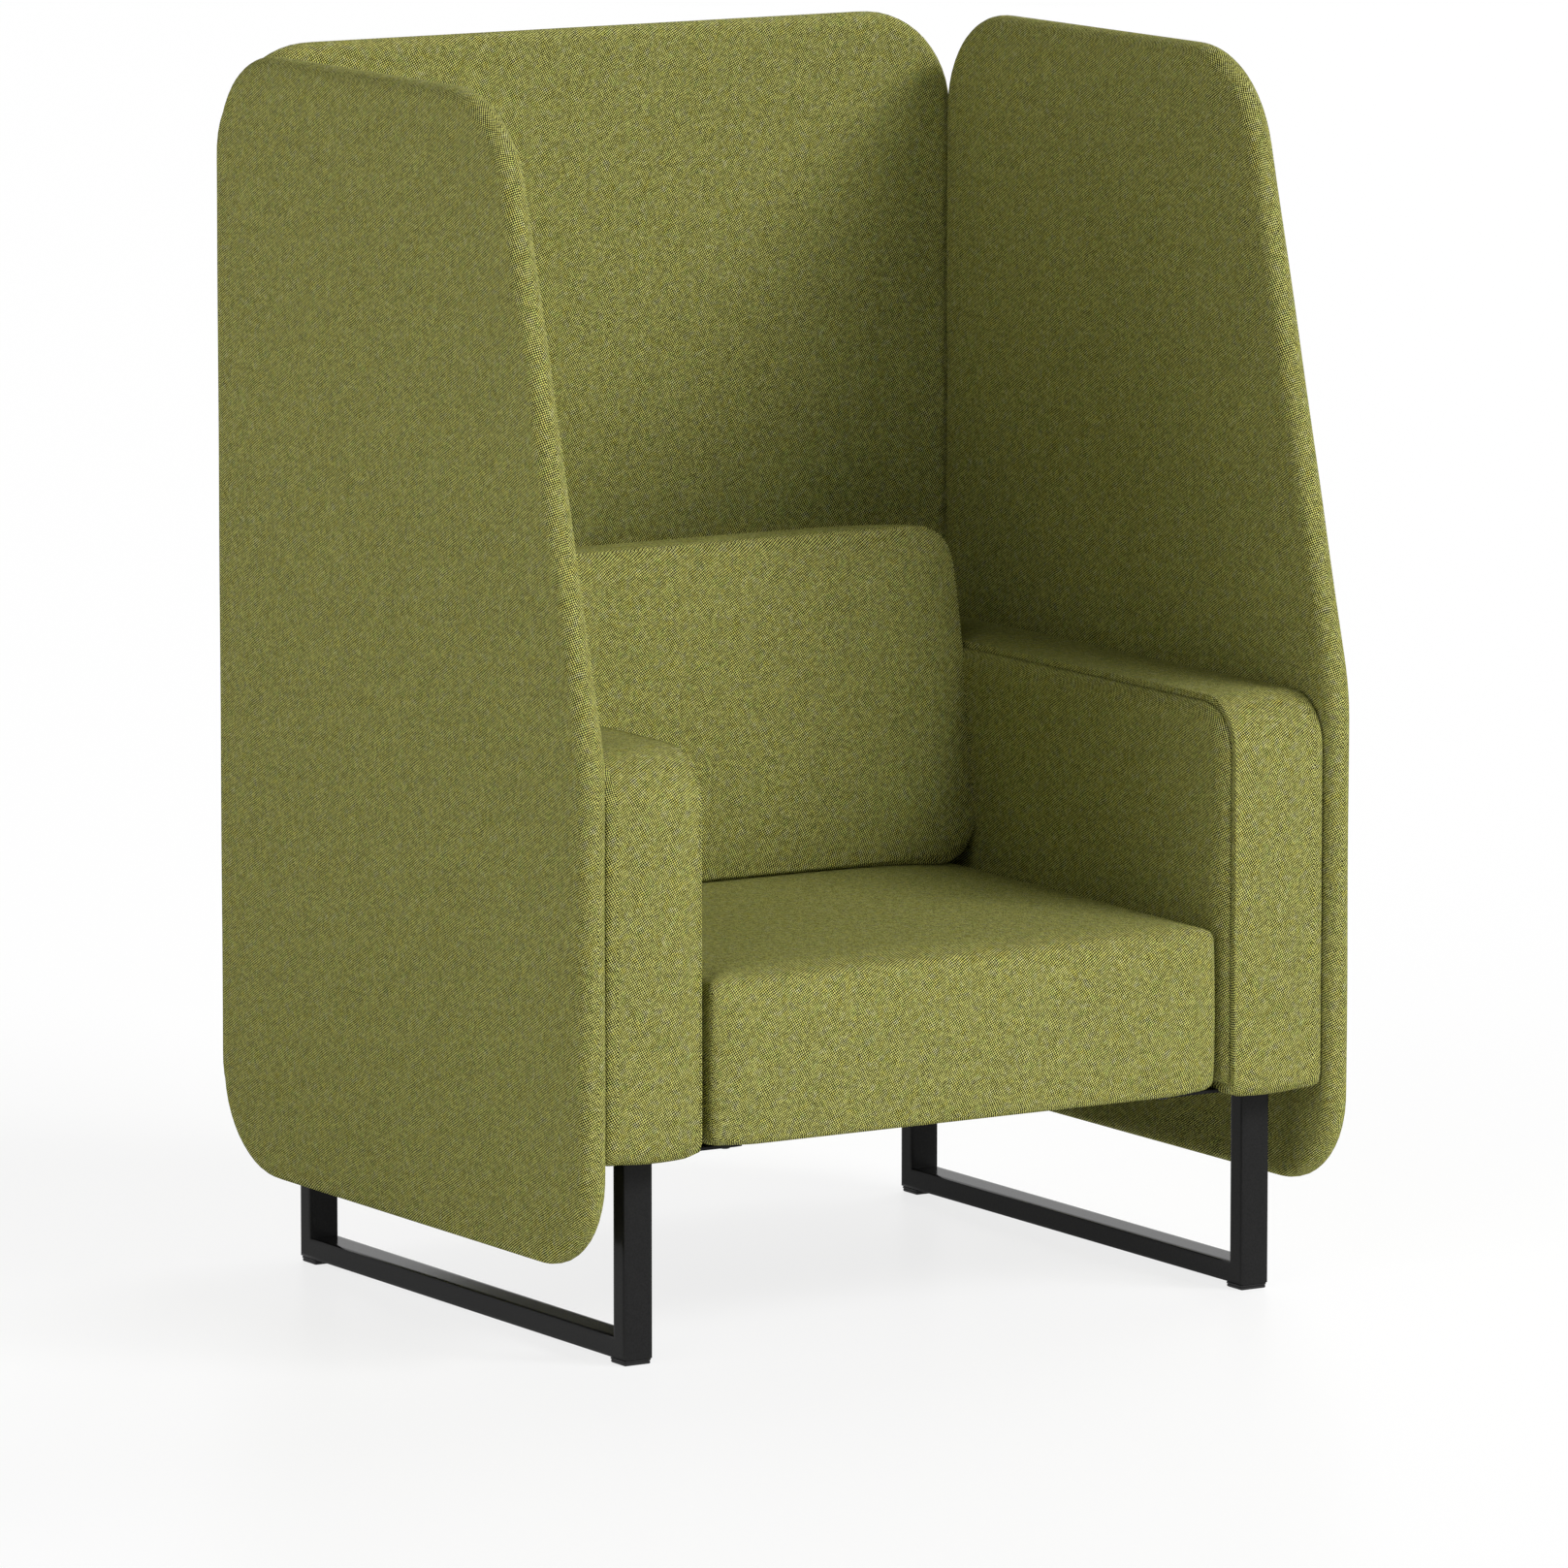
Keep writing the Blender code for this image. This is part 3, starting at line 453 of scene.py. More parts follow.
# %% Screens
SCREEN_CORNER = 0.122
FRONT_TOP_CORNER = 0.145
FRONT_BOTTOM_CORNER = 0.111
BEND_RADIUS = 0.285
BEND_HEIGHT = 0.592
SLANT = math.radians(15.0)
EDGE_FLAT = 0.003
EDGE_STEPS = 7
FACE_MARGIN = 0.030
RIPPLE = 0.0005
RIPPLE_LENGTH = 0.23
RIPPLE_STRETCH = 1.4
RIPPLE_SHIFT = 1.0
SIDE_SCREEN_CELLS = (54, 86, 54, 86)
BACK_SCREEN_CELLS = (66, 86, 66, 86)


def bullnose_rows(half):
    """Rows of a rounded edge: a quarter turn up to the middle, a narrow flat, and a quarter turn down."""
    radius = half - EDGE_FLAT / 2
    turn = np.linspace(0, math.pi / 2, EDGE_STEPS)
    quarter = np.stack([radius * (1 - np.sin(turn)), -half + radius * (1 - np.cos(turn))], axis=1)
    lower = np.concatenate([[[radius + FACE_MARGIN, -half], [radius + FACE_MARGIN / 3, -half]], quarter])
    return np.concatenate([lower, lower[::-1] * (1, -1)])


def ripple(points, half):
    """Faces moved in and out as the product of two sines, and less towards the slab's middle plane."""
    a, b, w = points.T
    tall = RIPPLE_STRETCH * RIPPLE_LENGTH
    lift = np.sin(TURN * a / RIPPLE_LENGTH) * np.sin(TURN * b / tall + RIPPLE_SHIFT)
    return np.stack([a, b, w + RIPPLE * lift * w / half], axis=1)


def side_screen(label):
    """One side screen, its outline in the YZ plane and its thickness along X."""
    low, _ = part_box(f"{label}_screen_{'outer' if label == 'left' else 'inner'}_pad")
    _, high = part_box(f"{label}_screen_{'inner' if label == 'left' else 'outer'}_pad")
    bend = low.z + BEND_HEIGHT
    slant_top = low.y + (high.z - bend) * math.tan(SLANT)
    corners = [(low.y, low.z, FRONT_BOTTOM_CORNER), (high.y, low.z, SCREEN_CORNER),
               (high.y, high.z, SCREEN_CORNER), (slant_top, high.z, FRONT_TOP_CORNER),
               (low.y, bend, BEND_RADIUS)]
    half = (high.x - low.x) / 2
    points, quads, uvs = slab(corners, bullnose_rows(half), SIDE_SCREEN_CELLS)
    points = placed(ripple(points, half), FACING_SIDE, ((low.x + high.x) / 2, 0, 0))
    nodes = (f"{label}_screen_inner_pad", f"{label}_screen_outer_pad")
    return piece(f"{label}_screen_cover", points, quads, uvs, CLOTH, nodes)


def back_screen():
    """The back screen, its outline in the XZ plane and its thickness along Y."""
    low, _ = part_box("back_screen_front_pad")
    _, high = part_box("back_screen_rear_pad")
    corners = rectangle(low.x, high.x, low.z, high.z, SCREEN_CORNER)
    half = (high.y - low.y) / 2
    points, quads, uvs = slab(corners, bullnose_rows(half), BACK_SCREEN_CELLS)
    points = placed(ripple(points, half), FACING_FRONT, (0, (low.y + high.y) / 2, 0))
    nodes = ("back_screen_front_pad", "back_screen_rear_pad")
    return piece("back_screen_cover", points, quads, uvs, CLOTH, nodes)


for cover in (side_screen("left"), side_screen("right"), back_screen()):
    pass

# %% [markdown]
# ## The arms
# An arm is a plywood box under foam, covered like a box cushion: one band of cloth runs up the front and
# along the top, and a panel closes the inner side. Where they meet, the turned-in cloth raises the band's
# edge to a thin lip, and the panel rolls down into the seam's dark slit. On the outer side the band rolls
# over a soft edge and disappears against the screen. Underneath, the cover turns in round a board that sits
# a little higher. The cloth is stretched tight over the box, so a profile carried round its outline is
# enough, and nothing is simulated.

# %% Profile of an arm
ARM_EDGE = 0.014
ARM_EDGE_FALL = 0.005
OUTER_MARGINS = (0.050, 0.026)
BAND_CROWN = 0.0022
SEAM_DEPTH = 0.0064
SEAM_SLIT = 0.0035
SLIT_WIDTH = 0.0010
LIP_WIDTH = 0.0020
LIP_RISE = 0.0010
PANEL_ROLL = 0.032
ROLL_TURN = math.radians(50.0)
PANEL_MARGIN = 0.010
TURN_STEPS = 6
BAND_STEPS = 11
ROLL_STEPS = 12


def arm_rows(outer, seam):
    """From the outer face: a soft edge, the crowned band, its lip, the seam's slit, and the panel's roll.

    The band's crown is a parabola. The panel's slope is the tangent of ROLL_TURN s^2, with s from 1 at the
    seam to 0 where the panel is flat.
    """
    turn = np.linspace(0, math.pi / 2, TURN_STEPS)
    margin = [(inset, outer) for inset in OUTER_MARGINS]
    edge = np.stack([ARM_EDGE_FALL * (1 - np.sin(turn)), outer + ARM_EDGE * (1 - np.cos(turn))], axis=1)
    across = np.linspace(outer + ARM_EDGE, seam - 2 * LIP_WIDTH, BAND_STEPS)[1:]
    middle, reach = (across[0] + across[-1]) / 2, (across[-1] - across[0]) / 2
    band = np.stack([-BAND_CROWN * (1 - ((across - middle) / reach) ** 2), across], axis=1)
    # The seam's turned-in edges lie under the band's edge and raise it to a lip
    rise = np.stack([-LIP_RISE * np.sin(turn) ** 2, seam - LIP_WIDTH * (2 - turn / turn[-1])], axis=1)[1:]
    drop = -LIP_RISE + LIP_WIDTH * (1 - np.cos(turn))
    fall = np.stack([drop, seam - LIP_WIDTH * (1 - np.sin(turn))], axis=1)[1:]
    slit = [(SEAM_DEPTH, seam), (SEAM_DEPTH + SEAM_SLIT, seam + SLIT_WIDTH / 4)]
    share = np.linspace(0, 1, ROLL_STEPS)
    slope = np.tan(ROLL_TURN * (1 - share) ** 2)
    gain = np.concatenate([[0.0], np.cumsum((slope[1:] + slope[:-1]) / 2 * PANEL_ROLL * np.diff(share))])
    panel = np.stack([SEAM_DEPTH + PANEL_ROLL * share, seam + SLIT_WIDTH + gain], axis=1)
    flat = panel[-1] + (PANEL_MARGIN, 0.0)
    rows = np.concatenate([margin, edge, band, rise, fall, slit, panel, [flat]])
    return rows, (len(edge) + 1, len(rows) - len(panel) - 1)


# %% Arms
ARM_GAP = 0.0015
ARM_FRONT_TOP = 0.062
ARM_CORNER = 0.014
ARM_CELLS = (64, 36, 64, 36)
SEAM_PLACE = 0.0052
PANEL_CROWN = 0.0006
PANEL_FROM = 0.99
# The underside: how much higher the board lies, and how far inside the rim it starts
BOARD_RISE = 0.0062
BOARD_FRONT = 0.022
BOARD_INNER = 0.020
BOARD_MARGIN = 0.010
BOARD_BLEND = 0.010
BOARD_SIDE_BLEND = 0.008
RIM = 0.004
LOW_CORNER_RUN = 0.013
LOW_CORNER_RISE = 0.009
LOW_CORNER_FADE = 0.035


def smooth_step(distance, width):
    """0 below zero, 1 past the width, and a smooth rise 3t^2 - 2t^3 between."""
    t = np.clip(distance / width, 0, 1)
    return t * t * (3 - 2 * t)


def crown(u, v):
    """A dome of (1 - u^4)(1 - v^4) over a plan from -1 to 1."""
    return np.clip(1 - u ** 4, 0, 1) * np.clip(1 - v ** 4, 0, 1)


def arm_cover(label):
    """One arm cover, its outline in the YZ plane and its width along X; its panel is slightly crowned."""
    side = SIDES[label]
    low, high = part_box(f"{label}_arm_pad")
    screen_low, screen_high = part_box(f"{label}_screen_inner_pad")
    outer = screen_low.x if side > 0 else screen_high.x
    inner = low.x if side > 0 else high.x
    half = abs(outer - inner) / 2
    rows, seams = arm_rows(ARM_GAP - half, half - SEAM_PLACE)
    face = rows[-1, 1]
    if side > 0:
        rows = rows[::-1] * (1, -1)
        seams = (len(rows) - 1 - seams[1], len(rows) - 1 - seams[0])
    corners = [(low.y, low.z, ARM_CORNER), (high.y, low.z, ARM_CORNER), (high.y, high.z, ARM_CORNER),
               (low.y, high.z, ARM_FRONT_TOP)]
    points, quads, uvs = slab(corners, rows, ARM_CELLS, seams, band_turned=True)
    a, b, w = points.T
    u = (a - (low.y + high.y) / 2) / ((high.y - low.y) / 2)
    v = (b - (low.z + high.z) / 2) / ((high.z - low.z) / 2)
    w = w - side * PANEL_CROWN * crown(u, v) * (-side * w / face > PANEL_FROM)
    rim = np.minimum(np.minimum(a - low.y, high.y - a), np.minimum(b - low.z, high.z - b))
    # The underside lies higher inside its rim, and where the link plates pass
    inside = smooth_step(np.minimum(a - low.y - BOARD_FRONT, high.y - BOARD_MARGIN - a), BOARD_BLEND)
    aside = np.minimum(face - BOARD_INNER + side * w, half - BOARD_MARGIN - side * w)
    inside = inside * smooth_step(aside, BOARD_SIDE_BLEND)
    b = np.where((b < low.z + RIM) & (rim < RIM), b + BOARD_RISE * inside, b)
    # Seen from the front, the lower inner corner rises on a quarter circle
    t = np.clip((-side * w - half + SEAM_PLACE) / LOW_CORNER_RUN + 1, 0, 1)
    b = b + LOW_CORNER_RISE * (1 - np.sqrt(1 - t ** 2)) * (1 - smooth_step(b - low.z, LOW_CORNER_FADE))
    points = placed(np.stack([a, b, w], axis=1), FACING_SIDE, (outer - side * half, 0, 0))
    return piece(f"{label}_arm_cover", points, quads, uvs, CLOTH, (f"{label}_arm_pad",))


for label in SIDES:
    arm_cover(label)

# %% [markdown]
# ## Cushions that swell
# The seat and the back are thick foam in a sewn cover. Drawn by formula alone they would look like soap, so
# their covers are simulated: the mesh becomes cloth, its seams and the side that rests on a board are
# pinned, and a little air pressure pushes it out for a short while. How far a point may go is capped, and
# the result replaces the mesh.

# %% Cloth under pressure
FRAMES = 16
STIFFNESS = 25.0
BENDING = 2.0
LEAST_STEP = 1e-9


def inflate(obj, pinned, pressure, cap):
    """Runs a short cloth simulation with the pinned points held, and keeps the capped movement."""
    mesh = obj.data
    rest = np.empty(len(mesh.vertices) * 3, np.float32)
    mesh.vertices.foreach_get("co", rest)
    rest = rest.reshape(-1, 3)
    group = obj.vertex_groups.new(name="pinned")
    group.add(np.flatnonzero(pinned).tolist(), 1.0, "REPLACE")
    cloth = obj.modifiers.new("cloth", "CLOTH")
    cloth.settings.vertex_group_mass = "pinned"
    cloth.settings.use_pressure = True
    cloth.settings.uniform_pressure_force = pressure
    cloth.settings.tension_stiffness = STIFFNESS
    cloth.settings.compression_stiffness = STIFFNESS
    cloth.settings.bending_stiffness = BENDING
    cloth.settings.effector_weights.gravity = 0.0
    cloth.collision_settings.use_collision = False
    scene = bpy.context.scene
    for number in range(1, FRAMES + 1):
        scene.frame_set(number)
    shown = obj.evaluated_get(bpy.context.evaluated_depsgraph_get())
    moved = np.empty(len(rest) * 3, np.float32)
    shown.data.vertices.foreach_get("co", moved)
    step = moved.reshape(-1, 3) - rest
    reach = np.linalg.norm(step, axis=1, keepdims=True)
    step = step * (cap * np.tanh(reach / cap) / np.maximum(reach, LEAST_STEP))
    obj.modifiers.remove(cloth)
    obj.vertex_groups.remove(group)
    scene.frame_set(1)
    mesh.vertices.foreach_set("co", (rest + step).ravel())
    mesh.update()
    print(obj.name, "swelled by", round(float(np.abs(step).max()) * 1000, 1), "mm at most")


def rounded_more(obj):
    """One subdivision, so that the light sees no facets."""
    finer = obj.modifiers.new("finer", "SUBSURF")
    finer.levels = 1
    finer.render_levels = 1


# %% Profile of the seat
SEAT_TOP_EDGE = 0.015
SEAT_LOW_EDGE = 0.009
SEAT_BELLY = 0.0015
SEAT_UNDER_MARGINS = (0.040, 0.020)
SEAT_TOP_MARGIN = 0.012
SEAT_LOW_STEPS = 5
SEAT_WALL_STEPS = 13


def seat_rows(half):
    """From the underside: a small round edge, a wall that bellies as a parabola, a soft upper edge."""
    margin = [(inset, -half) for inset in SEAT_UNDER_MARGINS]
    turn = np.linspace(0, math.pi / 2, SEAT_LOW_STEPS)
    lower = np.stack([SEAT_LOW_EDGE * (1 - np.sin(turn)), -half + SEAT_LOW_EDGE * (1 - np.cos(turn))], axis=1)
    height = np.linspace(-half + SEAT_LOW_EDGE, half - SEAT_TOP_EDGE, SEAT_WALL_STEPS)[1:-1]
    belly = -SEAT_BELLY * (1 - ((height + SEAT_TOP_EDGE / 2) / half) ** 2)
    turn = np.linspace(0, math.pi / 2, EDGE_STEPS)
    upper = np.stack([SEAT_TOP_EDGE * (1 - np.cos(turn)), half - SEAT_TOP_EDGE * (1 - np.sin(turn))], axis=1)
    rows = np.concatenate([margin, lower, np.stack([belly, height], axis=1), upper,
                           [(SEAT_TOP_EDGE + SEAT_TOP_MARGIN, half)]])
    return rows, (len(lower), len(rows) - len(upper) + 1)


# %% Seat cushion
SEAT_CORNER = 0.005
SEAT_CELLS = (58, 68, 58, 68)
SEAT_SIDE_EASE = 0.0042
SEAT_FRONT_EASE = 0.0005
SEAT_RIM_DROP = 0.007
SEAT_CROWN = 0.012
SEAT_UNDER_GAP = 0.00015
SEAT_FRONT_TO_BACK = 0.515
CORNER_RISE = 0.0085
CORNER_REACH = 0.062
RISE_POWER = 1.5
RISE_RIM = 0.020
RISE_HEIGHT = 0.060
PRESSURE = 2.0
SEAT_SWELL = 0.003
# Held by the simulation: the lowest part of the wall, the corners, and the top under the back cushion
HELD_LOW = 0.016
HELD_CORNER = 0.010
HELD_TOP = 0.002


def seat_level(x, y):
    """Height of the seat's top: its rim and its crown."""
    low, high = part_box("seat_cushion")
    u = x / (high.x - SEAT_SIDE_EASE)
    v = (2 * y - low.y - high.y) / (high.y - low.y)
    return high.z - SEAT_RIM_DROP + SEAT_CROWN * crown(u, v)


def seat_cushion():
    """The seat, its outline in the XY plane and its thickness along Z."""
    low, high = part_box("seat_cushion")
    bottom, rim = low.z - SEAT_UNDER_GAP, high.z - SEAT_RIM_DROP
    half = (rim - bottom) / 2
    rows, seams = seat_rows(half)
    wide, near, far = high.x - SEAT_SIDE_EASE, low.y + SEAT_FRONT_EASE, high.y
    corners = rectangle(-wide, wide, near, far, SEAT_CORNER)
    points, quads, uvs = slab(corners, rows, SEAT_CELLS, seams)
    a, b, w = points.T
    w = w + (seat_level(a, b) - rim) * np.clip(w / half, 0, 1)
    # The cover is folded at the corners of the underside, which draws their rim up
    aside, ahead = wide - np.abs(a), np.minimum(b - near, far - b)
    corner = np.hypot(aside, ahead)
    rise = CORNER_RISE * np.clip(1 - corner / CORNER_REACH, 0, 1) ** RISE_POWER
    rise = rise * (1 - smooth_step(np.minimum(aside, ahead), RISE_RIM))
    rise = rise * (1 - smooth_step(w + half, RISE_HEIGHT))
    points = placed(np.stack([a, b, w + rise], axis=1), LYING, (0, 0, bottom + half))
    obj = piece("seat_cushion_cover", points, quads, uvs, CLOTH, ("seat_cushion",))
    stood_on = (b > low.y + SEAT_FRONT_TO_BACK) & (w > half - HELD_TOP)
    inflate(obj, (w < -half + HELD_LOW) | (corner < HELD_CORNER) | stood_on, PRESSURE, SEAT_SWELL)
    rounded_more(obj)
    return obj


seat_cushion()

# %% [markdown]
# ## The back cushion
# A box cushion that leans back and stands on the seat. Its front panel is crowned, and a thin bead runs
# where the panel meets the boxing, the band round its sides. The boxing bulges, spreads at the lower
# corners and stands on the seat with its foot pressed flat. Like the seat it is simulated, with its seam
# and its rear held.

# %% Profile of the back cushion
# Rows of (inset, distance): the rear edge from the rear face, the others from the front face
REAR_EDGE = ((0.040, 0.0), (0.014, 0.0), (0.0060, 0.0006), (0.0020, 0.0028), (0.0, 0.0075))
BEAD = ((0.0010, -0.0125), (0.0028, -0.0112), (0.0012, -0.0100), (0.0006, -0.0084), (0.0012, -0.0068),
        (0.0030, -0.0058))
FRONT_PANEL = ((0.0052, -0.0044), (0.0095, -0.0022), (0.0160, -0.0008), (0.0260, 0.0))
BOXING_STEPS = 9
BOXING_END = 0.024
BOXING_LAST = (0.0205, 0.0180, 0.0160)


def back_rows(half):
    """From the rear: a small round edge, the straight boxing, a bead between two grooves, the panel."""
    rear = np.array(REAR_EDGE) + (0, -half)
    even = np.linspace(rear[-1, 1], half - BOXING_END, BOXING_STEPS)[1:]
    height = np.append(even, half - np.array(BOXING_LAST))
    boxing = np.stack([0 * height, height], axis=1)
    front = np.array(BEAD + FRONT_PANEL) + (0, half)
    rows = np.concatenate([rear, boxing, front])
    return rows, (len(rear) - 1, len(rows) - len(FRONT_PANEL) - 1)


# %% Back cushion
BACK_LEAN = math.radians(9.6)
BACK_CORNER = 0.046
BACK_CELLS = (70, 40, 70, 40)
BACK_THICKNESS = 0.110
BACK_HEIGHT = 0.3965
BACK_LIFT = 0.0115
BACK_CROWN = 0.012
BACK_EASE = 0.0035
PANEL_DEPTH = 0.004
SIDE_BOW = 0.0055
BOX_BULGE = 0.0055
FOOT_SQUARENESS = 8
# How far the foam spreads at the lower corners, and from which depth behind the front
CORNER_SPREAD = 0.015
SPREAD_FROM = 0.012
SPREAD_BLEND = 0.014
# How high the lower seam sits: over the lowest part of the height, from 0 to 1, and down to a depth
LOW_SEAM_LIFT = 0.0020
LOW_SEAM_FROM = 0.88
LOW_SEAM_BLEND = 0.12
LOW_SEAM_DEPTH = 0.0160
LOW_SEAM_FADE = 0.0060
# The foot that stands on the seat, in the same measures, and where it ends before the corners
FOOT_FROM = 0.90
FOOT_BLEND = 0.08
FOOT_DEPTH = 0.0098
FOOT_FADE = 0.0062
FOOT_END = 0.7
REST_GAP = 0.0006
SEAM_ROWS = 5
HELD_REAR = 0.002
BACK_SWELL = 0.004


def settle(obj, foot):
    """Presses what would lie below the seat's top against it, and draws the boxing's foot down onto it."""
    points = np.empty(len(obj.data.vertices) * 3, np.float32)
    obj.data.vertices.foreach_get("co", points)
    x, y, z = points.reshape(-1, 3).T
    rest = seat_level(x, y) + REST_GAP
    points[2::3] = np.maximum(z - foot * (z - rest), rest)
    obj.data.vertices.foreach_set("co", points)
    obj.data.update()


def back_cushion():
    """The back cushion, drawn upright with its front along +w, then leaned back about its foot.

    With u, v and w from -1 to 1, the sides bow by 1 - v^2 and the boxing bulges by 1 - |w|^n, where n is
    2 above and FOOT_SQUARENESS below, where the foam is squeezed.
    """
    low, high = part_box("back_cushion")
    seat_low, seat_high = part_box("seat_cushion")
    half = BACK_THICKNESS / 2
    rows, seams = back_rows(half)
    wide = high.x - BACK_EASE
    top = BACK_LIFT + BACK_HEIGHT
    corners = rectangle(-wide, wide, BACK_LIFT, top, BACK_CORNER)
    points, quads, uvs = slab(corners, rows, BACK_CELLS, seams)
    a, b, w = points.T
    u, v = a / wide, (2 * b - BACK_LIFT - top) / BACK_HEIGHT
    a = a * (1 + SIDE_BOW / wide * (1 - v ** 2))
    squareness = np.where(v < 0, FOOT_SQUARENESS, 2)
    bulge = BOX_BULGE * np.clip(1 - np.abs(w / half) ** squareness, 0, 1)
    b = b + bulge * v * np.abs(v) ** 3 * np.clip(1 - u ** 6, 0, 1)
    # The foam spreads at the lower corners, and the lower seam sits a little above the cushion's foot
    corner = np.clip((np.abs(u) - 1) * wide / BACK_CORNER + 1, 0, 1)
    corner = corner * np.clip((BACK_LIFT - b) / BACK_CORNER + 1, 0, 1)
    spread = CORNER_SPREAD * corner * smooth_step(half - SPREAD_FROM - w, SPREAD_BLEND)
    a = a + np.sign(a) * spread
    lift = smooth_step(-v - LOW_SEAM_FROM, LOW_SEAM_BLEND)
    b = b - spread + LOW_SEAM_LIFT * lift * smooth_step(w - half + LOW_SEAM_DEPTH, LOW_SEAM_FADE)
    foot = smooth_step(-v - FOOT_FROM, FOOT_BLEND) * smooth_step(half - FOOT_DEPTH - w, FOOT_FADE)
    foot = foot * (1 - smooth_step(np.abs(a) - wide + BACK_CORNER, FOOT_END * BACK_CORNER))
    w = w + BACK_CROWN * crown(u, v) * (w > half - PANEL_DEPTH)
    row = np.arange(len(points)) // sum(BACK_CELLS)
    seam = (row > seams[1] - SEAM_ROWS) & (row <= seams[1])
    # Lean: turn about the X axis through the foot of the front face
    depth, rise = half - w, b
    y = depth * math.cos(BACK_LEAN) + rise * math.sin(BACK_LEAN)
    z = rise * math.cos(BACK_LEAN) - depth * math.sin(BACK_LEAN)
    foot_y = seat_low.y + SEAT_FRONT_TO_BACK
    points = np.stack([a, foot_y + y, seat_high.z + z], axis=1)
    obj = piece("back_cushion_cover", points, quads, uvs, CLOTH, ("back_cushion",))
    inflate(obj, (w < -half + HELD_REAR) | seam, PRESSURE, BACK_SWELL)
    settle(obj, foot)
    rounded_more(obj)
    return obj


back_cushion()

# %% [markdown]
# ## The sled legs
# Each leg frame is one rectangular tube that runs down, along the floor and up again, mitred and welded at
# the two lower corners, ground flush and painted. A rounded rectangle is carried along that path: at a
# mitre the section's ring lies in the plane that halves the corner.

# %% Sled legs
TUBE_WIDTH = 0.038
TUBE_DEPTH = 0.025
TUBE_EDGE = 0.0022
TUBE_CELLS = (12, 12, 12, 12)
LEG_STEPS = 9
RAIL_STEPS = 21


def tube(rings):
    """A closed tube through a stack of rings, shape (levels, around, 3), with a Coons patch over each end."""
    levels, around = rings.shape[:2]
    counts = (around // 4,) * 4
    inside = (counts[0] - 1) ** 2
    number = np.arange(levels * around).reshape(levels, around)
    closed = np.concatenate([number, number[:, :1]], axis=1)
    sides = grid_quads(closed).reshape(-1, 4)
    ends = [patch_indices(counts, number[k], levels * around + inside * order)
            for order, k in enumerate((0, -1))]
    caps = [coons_patch(rings[k], counts)[1:-1, 1:-1].reshape(-1, 3) for k in (0, -1)]
    covers = [grid_quads(end).reshape(-1, 4) for end in ends]
    quads = np.concatenate([sides[:, ::-1], covers[0][:, ::-1], covers[1]])
    return np.concatenate([rings.reshape(-1, 3), *caps]), quads


def sled(label):
    """A U of tube: the section's depth is measured outwards from the U and carried round its two mitres.

    A level of the path is (y, share of the depth along y, z, share of the depth along z).
    """
    low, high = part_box(f"{label}_floor_rail")
    front_low, front_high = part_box(f"{label}_front_leg")
    _, rear_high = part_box(f"{label}_rear_leg")
    half_wide, half_deep = TUBE_WIDTH / 2, TUBE_DEPTH / 2
    corners = np.array(rectangle(-half_wide, half_wide, -half_deep, half_deep, TUBE_EDGE))
    across, deep = outline_ring(corners, 0.0, TUBE_CELLS)[0].T
    near, far = front_low.y + half_deep, rear_high.y - half_deep
    floor = front_low.z + half_deep
    heights = np.linspace(front_high.z, floor, LEG_STEPS)[:-1]
    stops = np.linspace(near, far, RAIL_STEPS)[1:-1]
    path = [(near, -1, z, 0) for z in heights] + [(near, -1, floor, -1)]
    path += [(y, 0, floor, -1) for y in stops] + [(far, 1, floor, -1)]
    path += [(far, 1, z, 0) for z in heights[::-1]]
    y, out, z, down = np.array(path).T[:, :, None]
    rings = np.stack([across + 0 * y, y + out * deep, z + down * deep], axis=2)
    points, quads = tube(rings)
    points[:, 0] += (low.x + high.x) / 2
    nodes = (f"{label}_front_leg", f"{label}_floor_rail", f"{label}_rear_leg")
    hard_piece(f"{label}_sled", points, quads, POWDER_COAT, nodes)


for label in SIDES:
    sled(label)

# %% [markdown]
# ## Plates and glides
# Flat steel plates, welded on top of the legs, hold the arm and the seat. They are cut from bar and lightly
# chamfered. The glides are small moulded pads with a thin flange, which keep the steel off the floor. Both
# are slabs again, with a few rows for their edges.

# %% Plates and glides
PLATE_CORNER = 0.005
PLATE_CHAMFER = 0.0005
PLATE_CELLS = (16, 12, 16, 12)
GLIDE_CORNER = 0.0024
GLIDE_CELLS = (12, 12, 12, 12)
GLIDE_ROWS = ((0.0018, 0.0), (0.0010, 0.0005), (0.0007, 0.0012), (0.0007, 0.0030), (0.0014, 0.0033),
              (0.0014, 0.0038), (0.0002, 0.0041), (0.0, 0.0045), (0.0, 0.0056), (0.0004, 0.0060))


def link_plate(label, end):
    """A flat bar with rounded corners and a fine chamfer on both faces."""
    node = f"{label}_{end}_link_plate"
    low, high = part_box(node)
    half = (high.z - low.z) / 2
    rows = [(PLATE_CHAMFER, -half), (0.0, -half + PLATE_CHAMFER),
            (0.0, half - PLATE_CHAMFER), (PLATE_CHAMFER, half)]
    corners = rectangle(low.x, high.x, low.y, high.y, PLATE_CORNER)
    points, quads, _ = slab(corners, rows, PLATE_CELLS)
    points = placed(points, LYING, (0, 0, low.z + half))
    hard_piece(f"{label}_{end}_plate", points, quads, POWDER_COAT, (node,))


def glide(label, end):
    """A pad with a chamfered foot, a narrow groove and a flange under the tube."""
    node = f"{label}_{end}_glide"
    low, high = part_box(node)
    corners = rectangle(low.x, high.x, low.y, high.y, GLIDE_CORNER)
    points, quads, _ = slab(corners, GLIDE_ROWS, GLIDE_CELLS)
    points = placed(points, LYING, (0, 0, low.z))
    hard_piece(f"{label}_{end}_foot", points, quads, NYLON, (node,))


for label in SIDES:
    for end in ("front", "rear"):
        link_plate(label, end)
        glide(label, end)

